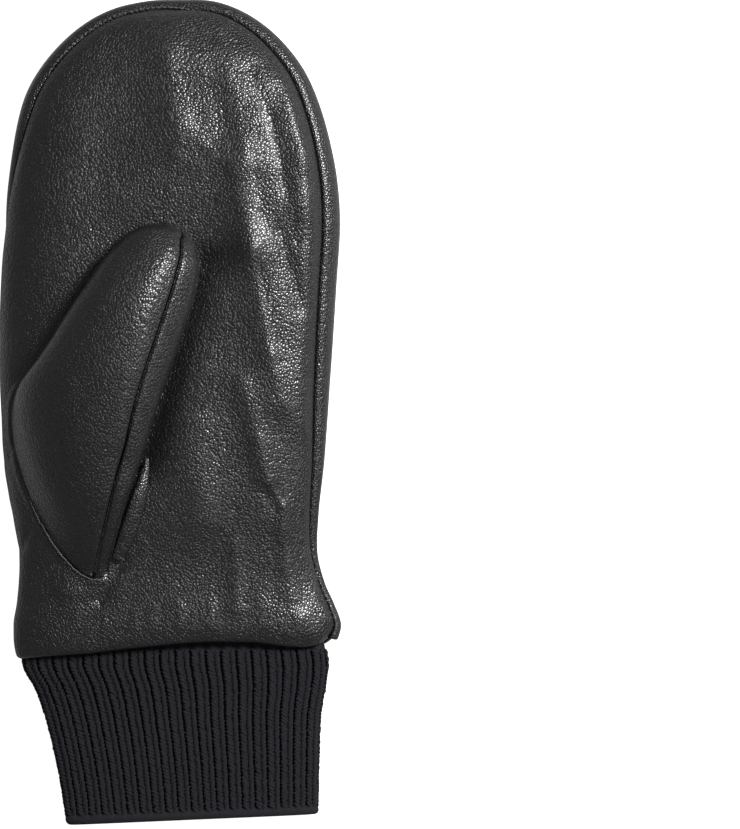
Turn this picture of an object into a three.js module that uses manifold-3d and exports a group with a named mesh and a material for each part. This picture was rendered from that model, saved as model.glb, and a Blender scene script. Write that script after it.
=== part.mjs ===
// Leather mitten for the left hand, with a ribbed knit cuff, lying palm up on its back panel.
// Millimetres: X across the palm, Y from the cuff to the fingertips, Z up from the surface.
// The leather body is a boxed form: a palm panel, a back panel and a strip round the edge.
// The origin lies on the surface, below the middle of the whole mitten.

import * as THREE from "three";
import Module from "manifold-3d";
import { mergeVertices } from "three/addons/utils/BufferGeometryUtils.js";

// Sizes of the leather body
const leatherLength = 220.4; // hem to fingertips
const palmWidth = 116.4; // widest, across the outline
const bodyThickness = 25; // surface to palm, at the middle of the hand
const palmRound = 26; // from the rim inwards to the level part of the palm
const backRound = 18; // from the rim inwards to the flat part of the back
const palmCrown = 1.6; // extra height of the palm at its middle
const crownFrom = 0.5; // share of the palm's rounding at which the crown starts
const leatherWall = 1.5; // leather with its lining

// Sizes of the seams and the elastic
const seamGap = 0.3;
const seamDip = 0.9; // how far a panel sinks at its seam
const seamReach = 3; // how far from the seam it starts to sink
const elasticHeight = 25; // above the hem
const elasticLift = 3.6; // how far the elastic draws the back off the surface
const elasticReach = 10; // length of the drawn-in waist
const gatherDepth = 1.7;
const gatherReach = 15; // how far the gathers run from the elastic
const gatherCount = 14;
const hemCalm = 11; // height above the hem over which folds die away
const bowFade = 4; // power with which the bow of a hem dies away towards the fingertips

// Sizes of the thumb
const thumbLength = 95; // root to tip, along its axis
const thumbWidth = 45; // scale of the half widths in the thumb table
const thumbRise = 18; // over the palm
const thumbAngle = THREE.MathUtils.degToRad(23.6); // from the fingers, towards the little finger
const thumbInset = 21.7; // from the thumb side of the outline to the root
const thumbUp = 57; // from the hem to the root
const rootBulge = 13; // half width of the root hole
const rootLean = THREE.MathUtils.degToRad(225); // direction in which the root bulges
const layGap = 0.5; // between the thumb and the palm under it
const insetShare = 0.3; // the most that a wall may take of the thumb's height
const thumbTipFrom = 0.75; // station from which the thumb's wall closes over the tip
const thumbDipShare = 0.5; // of the seam dip, at the thumb's seams
const leastTip = 0.05; // share that keeps the seams apart at the tip

// Sizes of the folded gusset in the crotch of the thumb
const gussetWall = 1.2;
const gussetBulge = 1.7;
const gussetWave = 0.66; // share of a half wave that its fold makes

// Sizes of the cuff
const cuffLength = 57.7; // that shows below the hem
const cuffTuck = 8; // inside the hem
const cuffEndThickness = 12.5;
const cuffFlatness = 0.55; // power of the sine in its oval: smaller is squarer
const cuffSlant = 3.6; // how much longer the thumb side is
const knitWall = 2.5;
const ribCount = 42;
const ribDepth = 0.8;

const halfWidth = palmWidth / 2;
const quarterTurn = Math.PI / 2;
const up = new THREE.Vector3(0, 0, 1);

// Outline from above, from the hem on the thumb side round the fingertips to the other hem end.
// Shares of the half width and of the leather length.
const outlineRows = [
  { across: -0.923, along: -0.009 },
  { across: -0.912, along: 0.039 },
  { across: -0.894, along: 0.08 },
  { across: -0.879, along: 0.136 },
  { across: -0.912, along: 0.195 },
  { across: -0.965, along: 0.278 },
  { across: -0.994, along: 0.386 },
  { across: -1.0, along: 0.495 },
  { across: -0.982, along: 0.618 },
  { across: -0.941, along: 0.734 },
  { across: -0.876, along: 0.832 },
  { across: -0.764, along: 0.895 },
  { across: -0.581, along: 0.949 },
  { across: -0.369, along: 0.985 },
  { across: -0.145, along: 1.0 },
  { across: 0.062, along: 1.002 },
  { across: 0.268, along: 0.999 },
  { across: 0.469, along: 0.977 },
  { across: 0.652, along: 0.938 },
  { across: 0.799, along: 0.886 },
  { across: 0.906, along: 0.813 },
  { across: 0.971, along: 0.733 },
  { across: 0.994, along: 0.652 },
  { across: 0.976, along: 0.556 },
  { across: 0.947, along: 0.425 },
  { across: 0.912, along: 0.294 },
  { across: 0.87, along: 0.209 },
  { across: 0.861, along: 0.151 },
  { across: 0.9, along: 0.105 },
  { across: 0.953, along: 0.073 },
  { across: 0.997, along: 0.04 },
  { across: 0.976, along: 0.014 },
];

// Height of the palm and of the rim, as shares of the body thickness.
const sectionRows = [
  { along: -0.02, palm: 0.72, rim: 0.38 },
  { along: 0.05, palm: 0.76, rim: 0.4 },
  { along: 0.12, palm: 0.78, rim: 0.42 },
  { along: 0.25, palm: 0.94, rim: 0.42 },
  { along: 0.45, palm: 1.0, rim: 0.42 },
  { along: 0.7, palm: 0.98, rim: 0.42 },
  { along: 0.88, palm: 0.9, rim: 0.4 },
  { along: 1.0, palm: 0.82, rim: 0.38 },
];

// Where the two edge seams run: 0 is the level palm, 1 the rim, 2 the surface.
// around goes from the hem on the thumb side (0) over the fingertips (0.5) to the other end (1).
const seamRows = [
  { around: 0.0, palm: 1.15, back: 1.67 },
  { around: 0.055, palm: 1.32, back: 1.78 },
  { around: 0.085, palm: 1.38, back: 1.66 },
  { around: 0.17, palm: 1.14, back: 1.56 },
  { around: 0.24, palm: 1.12, back: 1.48 },
  { around: 0.28, palm: 1.03, back: 1.38 },
  { around: 0.33, palm: 0.82, back: 1.27 },
  { around: 0.37, palm: 0.69, back: 1.22 },
  { around: 0.5, palm: 0.71, back: 1.22 },
  { around: 0.6, palm: 0.63, back: 1.2 },
  { around: 0.68, palm: 0.6, back: 1.2 },
  { around: 0.76, palm: 0.58, back: 1.08 },
  { around: 0.83, palm: 0.6, back: 1.02 },
  { around: 0.88, palm: 0.66, back: 1.02 },
  { around: 0.92, palm: 0.75, back: 1.12 },
  { around: 0.955, palm: 0.82, back: 1.2 },
  { around: 1.0, palm: 0.76, back: 1.2 },
];

// Bow of each hem from the straight line between its ends, as a share of the leather length.
const palmHemRows = [
  { across: 0.0, bow: 0.0 },
  { across: 0.08, bow: -0.0085 },
  { across: 0.14, bow: -0.009 },
  { across: 0.25, bow: -0.006 },
  { across: 0.4, bow: -0.0015 },
  { across: 0.61, bow: 0.0015 },
  { across: 0.76, bow: -0.0025 },
  { across: 0.91, bow: -0.0095 },
  { across: 1.0, bow: 0.0 },
];
const backHemRows = [
  { across: 0.0, bow: 0.0 },
  { across: 0.2, bow: 0.0014 },
  { across: 0.53, bow: 0.0046 },
  { across: 0.86, bow: -0.013 },
  { across: 1.0, bow: 0.0 },
];

// Folds, swells and hollows: each is a soft ridge from point 1 to point 2.
// Shares: x and reach of the half width, y of the leather length, height of the body thickness.
const palmFoldRows = [
  { x1: -0.02, y1: 0.915, x2: 0.05, y2: 0.81, reach: 0.16, height: 0.072 },
  { x1: 0.25, y1: 0.9, x2: 0.36, y2: 0.77, reach: 0.07, height: -0.03 },
  { x1: 0.26, y1: 0.893, x2: 0.42, y2: 0.76, reach: 0.12, height: 0.048 },
  { x1: 0.42, y1: 0.76, x2: 0.476, y2: 0.616, reach: 0.12, height: 0.044 },
  { x1: 0.476, y1: 0.616, x2: 0.615, y2: 0.385, reach: 0.12, height: 0.05 },
  { x1: 0.49, y1: 0.907, x2: 0.7, y2: 0.69, reach: 0.08, height: 0.018 },
  { x1: 0.423, y1: 0.408, x2: 0.563, y2: 0.265, reach: 0.08, height: 0.036 },
  { x1: 0.66, y1: 0.208, x2: 0.7, y2: 0.085, reach: 0.055, height: 0.022 },
  { x1: 0.13, y1: 0.338, x2: 0.17, y2: 0.2, reach: 0.15, height: 0.036 },
  { x1: 0.38, y1: 0.162, x2: 0.38, y2: 0.065, reach: 0.052, height: 0.02 },
  { x1: 0.18, y1: 0.6, x2: -0.19, y2: 0.29, reach: 0.14, height: -0.08 },
  { x1: -0.34, y1: 0.105, x2: -0.6, y2: 0.09, reach: 0.06, height: 0.036 },
  { x1: -0.6, y1: 0.09, x2: -0.85, y2: 0.04, reach: 0.071, height: 0.03 },
  { x1: -0.53, y1: 0.85, x2: -0.55, y2: 0.71, reach: 0.13, height: 0.012 },
  { x1: 0.84, y1: 0.76, x2: 0.8, y2: 0.35, reach: 0.11, height: 0.056 },
  { x1: 0.68, y1: 0.88, x2: 0.84, y2: 0.76, reach: 0.11, height: 0.045 },
  { x1: -0.42, y1: 0.9, x2: -0.42, y2: 0.69, reach: 0.2, height: -0.016 },
  { x1: -0.265, y1: 0.631, x2: 0.172, y2: 0.654, reach: 0.17, height: -0.048 },
];
const backFoldRows = [
  { x1: 0.11, y1: 0.94, x2: -0.14, y2: 0.866, reach: 0.118, height: -0.064 },
  { x1: -0.14, y1: 0.866, x2: -0.08, y2: 0.751, reach: 0.106, height: -0.052 },
  { x1: -0.36, y1: 0.441, x2: 0.05, y2: 0.465, reach: 0.118, height: -0.064 },
  { x1: 0.05, y1: 0.465, x2: 0.42, y2: 0.359, reach: 0.13, height: -0.064 },
  { x1: -0.64, y1: 0.229, x2: -0.45, y2: 0.138, reach: 0.06, height: -0.052 },
  { x1: 0.44, y1: 0.232, x2: 0.38, y2: 0.139, reach: 0.06, height: -0.04 },
  { x1: 0.12, y1: 0.093, x2: 0.13, y2: 0.04, reach: 0.06, height: -0.12 },
  { x1: -0.14, y1: 0.093, x2: -0.12, y2: 0.05, reach: 0.06, height: -0.06 },
];

// Sections of the thumb from root to tip. Its left and right edges from above are shares of the
// thumb length (along) and width (across). under, side and rise are the heights of its underside,
// side edges and top, as shares of the thumb rise; bulge is a share of the root's.
const thumbRows = [
  {
    leftAlong: 0.243, leftAcross: -0.578, rightAlong: -0.24, rightAcross: 0.575,
    under: 0, side: 0.01, rise: 0.02, bulge: 1,
  },
  {
    leftAlong: 0.263, leftAcross: -0.58, rightAlong: -0.114, rightAcross: 0.542,
    under: 0, side: 0.18, rise: 0.42, bulge: 0.72,
  },
  {
    leftAlong: 0.313, leftAcross: -0.561, rightAlong: 0.055, rightAcross: 0.509,
    under: 0, side: 0.3, rise: 0.72, bulge: 0.36,
  },
  {
    leftAlong: 0.399, leftAcross: -0.524, rightAlong: 0.196, rightAcross: 0.494,
    under: 0, side: 0.38, rise: 0.9, bulge: 0.1,
  },
  {
    leftAlong: 0.529, leftAcross: -0.48, rightAlong: 0.378, rightAcross: 0.45,
    under: 0, side: 0.42, rise: 1, bulge: 0,
  },
  {
    leftAlong: 0.664, leftAcross: -0.431, rightAlong: 0.552, rightAcross: 0.421,
    under: 0, side: 0.42, rise: 0.99, bulge: 0,
  },
  {
    leftAlong: 0.783, leftAcross: -0.385, rightAlong: 0.71, rightAcross: 0.391,
    under: 0, side: 0.4, rise: 0.93, bulge: 0,
  },
  {
    leftAlong: 0.851, leftAcross: -0.34, rightAlong: 0.81, rightAcross: 0.364,
    under: 0, side: 0.37, rise: 0.86, bulge: 0,
  },
  {
    leftAlong: 0.909, leftAcross: -0.287, rightAlong: 0.901, rightAcross: 0.314,
    under: 0, side: 0.34, rise: 0.76, bulge: 0,
  },
  {
    leftAlong: 0.951, leftAcross: -0.21, rightAlong: 0.956, rightAcross: 0.238,
    under: 0.02, side: 0.29, rise: 0.62, bulge: 0,
  },
  {
    leftAlong: 0.979, leftAcross: -0.12, rightAlong: 0.984, rightAcross: 0.147,
    under: 0.08, side: 0.25, rise: 0.47, bulge: 0,
  },
  {
    leftAlong: 1, leftAcross: 0, rightAlong: 1, rightAcross: 0,
    under: 0.22, side: 0.22, rise: 0.22, bulge: 0,
  },
];

// Where the thumb seams run round its section, in degrees up from the right edge.
const thumbSeamRows = [
  { station: 0, upper: 20, lower: -6 },
  { station: 0.09, upper: 26, lower: -5 },
  { station: 0.18, upper: 36, lower: -4 },
  { station: 0.27, upper: 45, lower: -2 },
  { station: 0.36, upper: 52, lower: 0 },
  { station: 0.55, upper: 58, lower: 4 },
  { station: 0.73, upper: 62, lower: 6 },
  { station: 0.86, upper: 62, lower: 8 },
  { station: 0.94, upper: 46, lower: 20 },
  { station: 1, upper: 38, lower: 30 },
];

// Outer edge of the gusset, from its top down to the thumb root.
// Shares of the thumb length and width; fold is a share of the gusset bulge.
const gussetRows = [
  { along: 0.2, across: 0.53, fold: 0.15 },
  { along: 0.15, across: 0.58, fold: 0.6 },
  { along: 0.063, across: 0.635, fold: 1 },
  { along: -0.055, across: 0.672, fold: 1 },
  { along: -0.12, across: 0.668, fold: 0.6 },
  { along: -0.175, across: 0.648, fold: 0.15 },
];

// Edges of the cuff from above and its height; down runs from the hem (0) to its end (1).
// Shares of the cuff length, of the half width and of the cuff's thickness at its end.
const cuffRows = [
  { down: -0.131, left: -0.85, right: 0.9, low: 0.32, high: 1.1 },
  { down: -0.03, left: -0.858, right: 0.909, low: 0.21, high: 1.14 },
  { down: 0.035, left: -0.87, right: 0.922, low: 0.15, high: 1.16 },
  { down: 0.101, left: -0.864, right: 0.925, low: 0.05, high: 1.14 },
  { down: 0.223, left: -0.796, right: 0.909, low: 0.0, high: 1.08 },
  { down: 0.391, left: -0.735, right: 0.882, low: 0.0, high: 1.03 },
  { down: 0.7, left: -0.66, right: 0.87, low: 0.0, high: 1.0 },
  { down: 1.0, left: -0.611, right: 0.864, low: 0.0, high: 1.0 },
];

// Stations at which the body has rows of points: closer at the elastic and at the fingertips.
const bodyStations = [
  0, 0.025, 0.05, 0.07, 0.085, 0.1, 0.12, 0.15, 0.19, 0.25, 0.31, 0.37, 0.43, 0.49,
  0.55, 0.61, 0.67, 0.725, 0.775, 0.82, 0.86, 0.9, 0.94, 0.97, 1,
];
const palmColumns = 24;
const backColumns = gatherCount * 3;
const stripColumns = 3;
const thumbStations = 17;
const thumbPanelColumns = 17;
const thumbStripColumns = 3;
const gussetStations = 8;
const gussetColumns = 4;
const outlineSteps = 260;
const ovalSteps = 360;
const holeSides = 40;
const crotchSections = 5; // thumb sections beside the gusset

// Lengths below which an area is empty and two corners are one
const emptyArea = 1e-9;
const sameCorner = 1e-4;

const leatherMaterial = new THREE.MeshStandardMaterial({ color: 0x1c1c1e, roughness: 0.42, metalness: 0 });
const knitMaterial = new THREE.MeshStandardMaterial({ color: 0x121219, roughness: 0.95, metalness: 0 });

// Smooth value of a table column: a cubic through the rows, with each slope from the neighbours.
function column(rows, key, name, x) {
  const last = rows.length - 1;
  let i = 0;
  while (i < last - 1 && x > rows[i + 1][key]) {
    i += 1;
  }
  const slope = (k) => {
    const a = rows[Math.max(k - 1, 0)];
    const b = rows[Math.min(k + 1, last)];
    return (b[name] - a[name]) / (b[key] - a[key]);
  };
  const span = rows[i + 1][key] - rows[i][key];
  const t = THREE.MathUtils.clamp((x - rows[i][key]) / span, 0, 1);
  const t2 = t * t;
  const t3 = t2 * t;
  const start = (2 * t3 - 3 * t2 + 1) * rows[i][name] + (t3 - 2 * t2 + t) * span * slope(i);
  const end = (3 * t2 - 2 * t3) * rows[i + 1][name] + (t3 - t2) * span * slope(i + 1);
  return start + end;
}

// Same, with the rows spaced evenly from 0 to 1.
function evenColumn(rows, name, s) {
  const numbered = rows.map((row, i) => ({ place: i / (rows.length - 1), value: row[name] }));
  return column(numbered, "place", "value", s);
}

// The rim: the outline as a smooth curve in the XY plane, run on past both hem ends.
const rimCurve = new THREE.CatmullRomCurve3(
  outlineRows.map((row) => new THREE.Vector3(row.across * halfWidth, row.along * leatherLength, 0)),
  false,
  "catmullrom",
);
const rimPoints = rimCurve.getSpacedPoints(outlineSteps);
const rimInwards = rimPoints.map((_, i) => {
  const a = rimPoints[Math.max(i - 1, 0)];
  const b = rimPoints[Math.min(i + 1, outlineSteps)];
  return new THREE.Vector3().subVectors(b, a).cross(up).normalize();
});

// Point of the rim and its inward direction, at a share of the way round.
function rimAt(around) {
  const place = THREE.MathUtils.clamp(around, 0, 1) * outlineSteps;
  const i = Math.min(Math.floor(place), outlineSteps - 1);
  return {
    point: rimPoints[i].clone().lerp(rimPoints[i + 1], place - i),
    inwards: rimInwards[i].clone().lerp(rimInwards[i + 1], place - i).normalize(),
  };
}

// Distance of a plan point inside the rim (negative outside) and the inward direction there.
function rimNear(x, y) {
  const p = new THREE.Vector3(x, y, 0);
  let best = Infinity;
  let found = null;
  for (let i = 0; i < outlineSteps; i += 1) {
    const a = rimPoints[i];
    const side = new THREE.Vector3().subVectors(rimPoints[i + 1], a);
    let t = new THREE.Vector3().subVectors(p, a).dot(side) / side.lengthSq();
    t = THREE.MathUtils.clamp(t, i === 0 ? -Infinity : 0, i === outlineSteps - 1 ? Infinity : 1);
    const foot = a.clone().addScaledVector(side, t);
    const away = p.distanceTo(foot);
    if (away < best) {
      best = away;
      const blend = THREE.MathUtils.clamp(t, 0, 1);
      const inwards = rimInwards[i].clone().lerp(rimInwards[i + 1], blend).normalize();
      const inside = new THREE.Vector3().subVectors(p, foot).dot(inwards) >= 0;
      found = { depth: inside ? away : -away, inwards, around: (i + blend) / outlineSteps };
    }
  }
  return found;
}

// Height of the rim and of the palm above the surface, at a distance from the hem.
function rimHeight(y) {
  return bodyThickness * column(sectionRows, "along", "rim", y / leatherLength);
}

function palmHeight(y) {
  return bodyThickness * column(sectionRows, "along", "palm", y / leatherLength);
}

// Height of the body's section at a turn from 0, the level palm, over 1, the rim, to 2, the floor.
function heightAtTurn(turn, y) {
  const rim = rimHeight(y);
  const reach = turn < 1 ? palmHeight(y) - rim : rim;
  return rim + reach * Math.cos(turn * quarterTurn);
}

// How far inside the rim the section is at that turn.
function depthAtTurn(turn) {
  const round = turn < 1 ? palmRound : backRound;
  return round * (1 - Math.sin(turn * quarterTurn));
}

// A panel is drawn flat first. There its distance inside the rim stands for the turn.
function turnOfPalm(flat) {
  return Math.max(1 - flat / (flat > 0 ? palmRound : backRound), 0);
}

function turnOfBack(flat) {
  return Math.min(1 + flat / (flat > 0 ? backRound : palmRound), 2);
}

function flatOfPalm(turn) {
  return (1 - turn) * (turn < 1 ? palmRound : backRound);
}

function flatOfBack(turn) {
  return (turn - 1) * (turn > 1 ? backRound : palmRound);
}

// Sum of the ridges of a fold table at a plan point.
function foldsAt(rows, x, y) {
  let sum = 0;
  for (const row of rows) {
    const ax = row.x1 * halfWidth;
    const ay = row.y1 * leatherLength;
    const bx = row.x2 * halfWidth - ax;
    const by = row.y2 * leatherLength - ay;
    const t = THREE.MathUtils.clamp(((x - ax) * bx + (y - ay) * by) / (bx * bx + by * by), 0, 1);
    const away = Math.hypot(x - ax - t * bx, y - ay - t * by) / (row.reach * halfWidth);
    sum += row.height * bodyThickness * Math.exp(-away * away);
  }
  return sum * THREE.MathUtils.smoothstep(y, 0, hemCalm);
}

// Extra height of the palm inside the rounded edge.
function crownAt(depth) {
  return palmCrown * THREE.MathUtils.smoothstep(depth, palmRound * crownFrom, halfWidth);
}

// Sink of a panel near its seam.
function dipAt(awayFromSeam) {
  return -seamDip * Math.exp(-((awayFromSeam / seamReach) ** 2));
}

// Folds and gathers die away towards a seam.
function insideSeam(awayFromSeam) {
  return THREE.MathUtils.smoothstep(awayFromSeam, 0, 2 * seamReach);
}

// Height of the palm's outer face at a plan point, seen from above.
function palmSurface(x, y) {
  const { depth } = rimNear(x, y);
  const side = THREE.MathUtils.clamp(1 - depth / palmRound, 0, 1);
  const rim = rimHeight(y);
  const smooth = rim + (palmHeight(y) - rim) * Math.sqrt(1 - side * side);
  return smooth + crownAt(depth) + foldsAt(palmFoldRows, x, y);
}

// Outward direction of the section at a turn.
function normalAtTurn(turn, inwards, y) {
  const rim = rimHeight(y);
  const round = turn < 1 ? palmRound : backRound;
  const reach = turn < 1 ? palmHeight(y) - rim : rim;
  const normal = inwards.clone().multiplyScalar(-reach * Math.sin(turn * quarterTurn));
  normal.z = round * Math.cos(turn * quarterTurn);
  return normal.normalize();
}

// Folds a flat panel point round the rim.
function foldRound(x, y, turnOf) {
  const { depth, inwards, around } = rimNear(x, y);
  const turn = turnOf(depth);
  const level = turn === 0 || turn === 2;
  const shift = level ? 0 : depthAtTurn(turn) - depth;
  const point = new THREE.Vector3(x, y, heightAtTurn(turn, y)).addScaledVector(inwards, shift);
  return { point, normal: normalAtTurn(turn, inwards, y), depth, around };
}

// Change of a row of points at column i; at its ends it bends on as the next two columns do.
function slopeAcross(row, i, last) {
  if (i > 0 && i < last) {
    return new THREE.Vector3().subVectors(row[i + 1], row[i - 1]);
  }
  const step = i === 0 ? 1 : -1;
  const slope = row[i].clone().multiplyScalar(-3);
  slope.addScaledVector(row[i + step], 4).addScaledVector(row[i + 2 * step], -1);
  return slope.multiplyScalar(step);
}

// Normals of a grid of points, by the differences along its two directions.
function gridNormals(grid) {
  const lastRow = grid.length - 1;
  const lastColumn = grid[0].length - 1;
  const normals = grid.map((row, j) => row.map((_, i) => {
    const c = grid[Math.max(j - 1, 0)][i];
    const d = grid[Math.min(j + 1, lastRow)][i];
    const along = new THREE.Vector3().subVectors(d, c);
    return along.cross(slopeAcross(row, i, lastColumn));
  }));
  const before = normals[lastRow - 1].map((n) => n.clone().normalize());
  const mean = before[0].clone().add(before[lastColumn]);
  normals[lastRow] = normals[lastRow].map((n) => (n.length() < emptyArea ? mean.clone() : n));
  return normals.map((row) => row.map((n) => n.normalize()));
}

// The elastic lifts what lies under the rim, and adds a gather to the back panel.
function liftByElastic(point, gather) {
  const away = point.y - elasticHeight;
  const drawn = elasticLift * Math.exp(-((away / elasticReach) ** 2));
  const raised = gather * gatherDepth * Math.exp(-((away / gatherReach) ** 2));
  const low = 1 - THREE.MathUtils.smoothstep(point.z, 0, rimHeight(point.y));
  const calm = THREE.MathUtils.smoothstep(point.y, 0, hemCalm);
  point.z += (drawn * low + raised) * calm;
  return point;
}

// Triangles of a closed body between an outer and an inner grid.
function bodyBetween(outer, inner) {
  const triangles = [];
  const quad = (a, b, c, d) => {
    triangles.push([a, b, c], [a, c, d]);
  };
  const rows = outer.length;
  const columns = outer[0].length;
  for (let j = 0; j < rows - 1; j += 1) {
    for (let i = 0; i < columns - 1; i += 1) {
      quad(outer[j][i], outer[j][i + 1], outer[j + 1][i + 1], outer[j + 1][i]);
      quad(inner[j][i], inner[j + 1][i], inner[j + 1][i + 1], inner[j][i + 1]);
    }
    quad(outer[j][0], outer[j + 1][0], inner[j + 1][0], inner[j][0]);
    quad(outer[j + 1][columns - 1], outer[j][columns - 1], inner[j][columns - 1], inner[j + 1][columns - 1]);
  }
  for (let i = 0; i < columns - 1; i += 1) {
    quad(outer[0][i + 1], outer[0][i], inner[0][i], inner[0][i + 1]);
    quad(outer[rows - 1][i], outer[rows - 1][i + 1], inner[rows - 1][i + 1], inner[rows - 1][i]);
  }
  return triangles;
}

// Triangles of a closed tube between an outer and an inner grid whose rows are rings.
function tubeBetween(outer, inner) {
  const triangles = [];
  const quad = (a, b, c, d) => {
    triangles.push([a, b, c], [a, c, d]);
  };
  const rows = outer.length;
  const columns = outer[0].length;
  for (let i = 0; i < columns; i += 1) {
    const n = (i + 1) % columns;
    for (let j = 0; j < rows - 1; j += 1) {
      quad(outer[j][i], outer[j][n], outer[j + 1][n], outer[j + 1][i]);
      quad(inner[j][i], inner[j + 1][i], inner[j + 1][n], inner[j][n]);
    }
    quad(outer[0][n], outer[0][i], inner[0][i], inner[0][n]);
    quad(outer[rows - 1][i], outer[rows - 1][n], inner[rows - 1][n], inner[rows - 1][i]);
  }
  return triangles;
}

// Geometry of a closed body: empty triangles are left out and all faces point outwards.
function closedGeometry(triangles) {
  const whole = triangles.filter(([a, b, c]) => {
    const area = new THREE.Vector3().subVectors(b, a).cross(new THREE.Vector3().subVectors(c, a));
    return area.length() > emptyArea;
  });
  const volume = whole.reduce((sum, [a, b, c]) => sum + a.dot(b.clone().cross(c)), 0);
  const ordered = volume > 0 ? whole : whole.map(([a, b, c]) => [a, c, b]);
  const geometry = new THREE.BufferGeometry();
  const flat = ordered.flatMap((corners) => corners.flatMap((p) => p.toArray()));
  geometry.setAttribute("position", new THREE.Float32BufferAttribute(flat, 3));
  return mergeVertices(geometry, sameCorner);
}

function namedMesh(name, geometry, material) {
  geometry.computeVertexNormals();
  const mesh = new THREE.Mesh(geometry, material);
  mesh.name = name;
  return mesh;
}

// Wall of leather under a grid of outer points with their normals.
function leatherGeometry(cells) {
  const outer = cells.map((row) => row.map((cell) => cell.point));
  const inner = cells.map((row) => row.map((cell) => cell.inside));
  return closedGeometry(bodyBetween(outer, inner));
}

// A cell of leather: a point of its outer face and the point under it on its inner face.
function leatherCell(point, normal) {
  return { point, inside: point.clone().addScaledVector(normal, -leatherWall) };
}

// A panel in the flat: straight rungs between its two seams, from the hem to the fingertips.
function panelGrid(columns, flatOf, seamName, turnOf, hemRows) {
  return bodyStations.map((station) => {
    const ends = [station / 2, 1 - station / 2].map((around) => {
      const rim = rimAt(around);
      const seam = flatOf(column(seamRows, "around", seamName, around)) + seamGap / 2;
      return rim.point.addScaledVector(rim.inwards, seam);
    });
    const row = [];
    for (let i = 0; i <= columns; i += 1) {
      const flat = ends[0].clone().lerp(ends[1], i / columns);
      const bow = leatherLength * column(hemRows, "across", "bow", i / columns);
      flat.y += bow * (1 - station) ** bowFade;
      const folded = foldRound(flat.x, flat.y, turnOf);
      const seam = flatOf(column(seamRows, "around", seamName, folded.around));
      row.push({ ...folded, fromSeam: folded.depth - seam });
    }
    return row;
  });
}

function palmGrid() {
  const flat = panelGrid(palmColumns, flatOfPalm, "palm", turnOfPalm, palmHemRows);
  return flat.map((row) => row.map(({ point, normal, depth, fromSeam }) => {
    const folds = foldsAt(palmFoldRows, point.x, point.y) * insideSeam(fromSeam);
    point.addScaledVector(normal, crownAt(depth) + folds + dipAt(fromSeam));
    return leatherCell(liftByElastic(point, 0), normal);
  }));
}

function backGrid() {
  const flat = panelGrid(backColumns, flatOfBack, "back", turnOfBack, backHemRows);
  return flat.map((row) => row.map(({ point, normal, fromSeam }, i) => {
    const inside = insideSeam(fromSeam);
    const folds = foldsAt(backFoldRows, point.x, point.y) * inside;
    point.addScaledVector(normal, folds + dipAt(fromSeam));
    const wave = 0.5 - 0.5 * Math.cos((i / backColumns) * gatherCount * 2 * Math.PI);
    point.z = Math.max(point.z, 0);
    return leatherCell(liftByElastic(point, wave * inside), normal);
  }));
}

function stripGrid() {
  const thumbSide = bodyStations.map((station) => station / 2);
  const otherSide = thumbSide.slice(0, -1).reverse().map((around) => 1 - around);
  return [...thumbSide, ...otherSide].map((around) => {
    const rim = rimAt(around);
    const palmTurn = column(seamRows, "around", "palm", around);
    const backTurn = column(seamRows, "around", "back", around);
    const palmEdge = turnOfPalm(flatOfPalm(palmTurn) - seamGap / 2);
    const backEdge = turnOfBack(flatOfBack(backTurn) - seamGap / 2);
    return Array.from({ length: stripColumns + 1 }, (_, i) => {
      const turn = THREE.MathUtils.lerp(palmEdge, backEdge, i / stripColumns);
      const point = rim.point.clone().addScaledVector(rim.inwards, depthAtTurn(turn));
      point.z = heightAtTurn(turn, point.y);
      const normal = normalAtTurn(turn, rim.inwards, point.y);
      const dip = i === 0 || i === stripColumns ? -seamDip : 0;
      point.addScaledVector(normal, dip);
      return leatherCell(liftByElastic(point, 0), normal);
    });
  });
}

// Plan point of the thumb's own frame: along its axis and across it, from the root.
const thumbRoot = new THREE.Vector3(-halfWidth + thumbInset, thumbUp, 0);
const thumbAxis = new THREE.Vector3(Math.sin(thumbAngle), Math.cos(thumbAngle), 0);
const thumbAcross = new THREE.Vector3(Math.cos(thumbAngle), -Math.sin(thumbAngle), 0);
const bulgeDirection = new THREE.Vector3(Math.cos(rootLean), Math.sin(rootLean), 0);

function thumbPlan(along, across) {
  return thumbRoot.clone()
    .addScaledVector(thumbAxis, along * thumbLength)
    .addScaledVector(thumbAcross, across * thumbWidth);
}

// Plan point of one of the thumb's edges at a station.
function thumbSide(side, station) {
  const along = evenColumn(thumbRows, `${side}Along`, station);
  return thumbPlan(along, evenColumn(thumbRows, `${side}Across`, station));
}

// Point of the thumb's section: station runs from root (0) to tip (1), and the turn goes round
// from the right edge over the top. A negative swell gives the inner face of the wall.
function thumbPoint(station, turn, swell) {
  const left = thumbSide("left", station);
  const right = thumbSide("right", station);
  const point = left.clone().lerp(right, 0.5);
  const half = right.sub(left).multiplyScalar(0.5);
  const outwards = half.clone().normalize();
  point.add(half.addScaledVector(outwards, swell).multiplyScalar(Math.cos(turn)));
  const bulge = rootBulge * evenColumn(thumbRows, "bulge", station);
  const sine = Math.sin(turn);
  point.addScaledVector(bulgeDirection, bulge > 0 ? sine * Math.max(bulge + swell, 0) : 0);
  point.addScaledVector(thumbAxis, swell * THREE.MathUtils.smoothstep(station, thumbTipFrom, 1));
  const [under, side, rise] = ["under", "side", "rise"].map((name) => {
    return thumbRise * Math.max(evenColumn(thumbRows, name, station), 0);
  });
  const inset = Math.min(-swell, (rise - under) * insetShare);
  const height = side + (sine > 0 ? rise - inset - side : side - inset - under) * sine;
  point.z = palmSurface(point.x, point.y) + layGap + height;
  return point;
}

// The neck of the thumb passes straight down through the palm hole.
function thumbNeck(turn, swell) {
  const point = thumbPoint(0, turn, swell);
  point.z -= layGap + leatherWall;
  return point;
}

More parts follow.
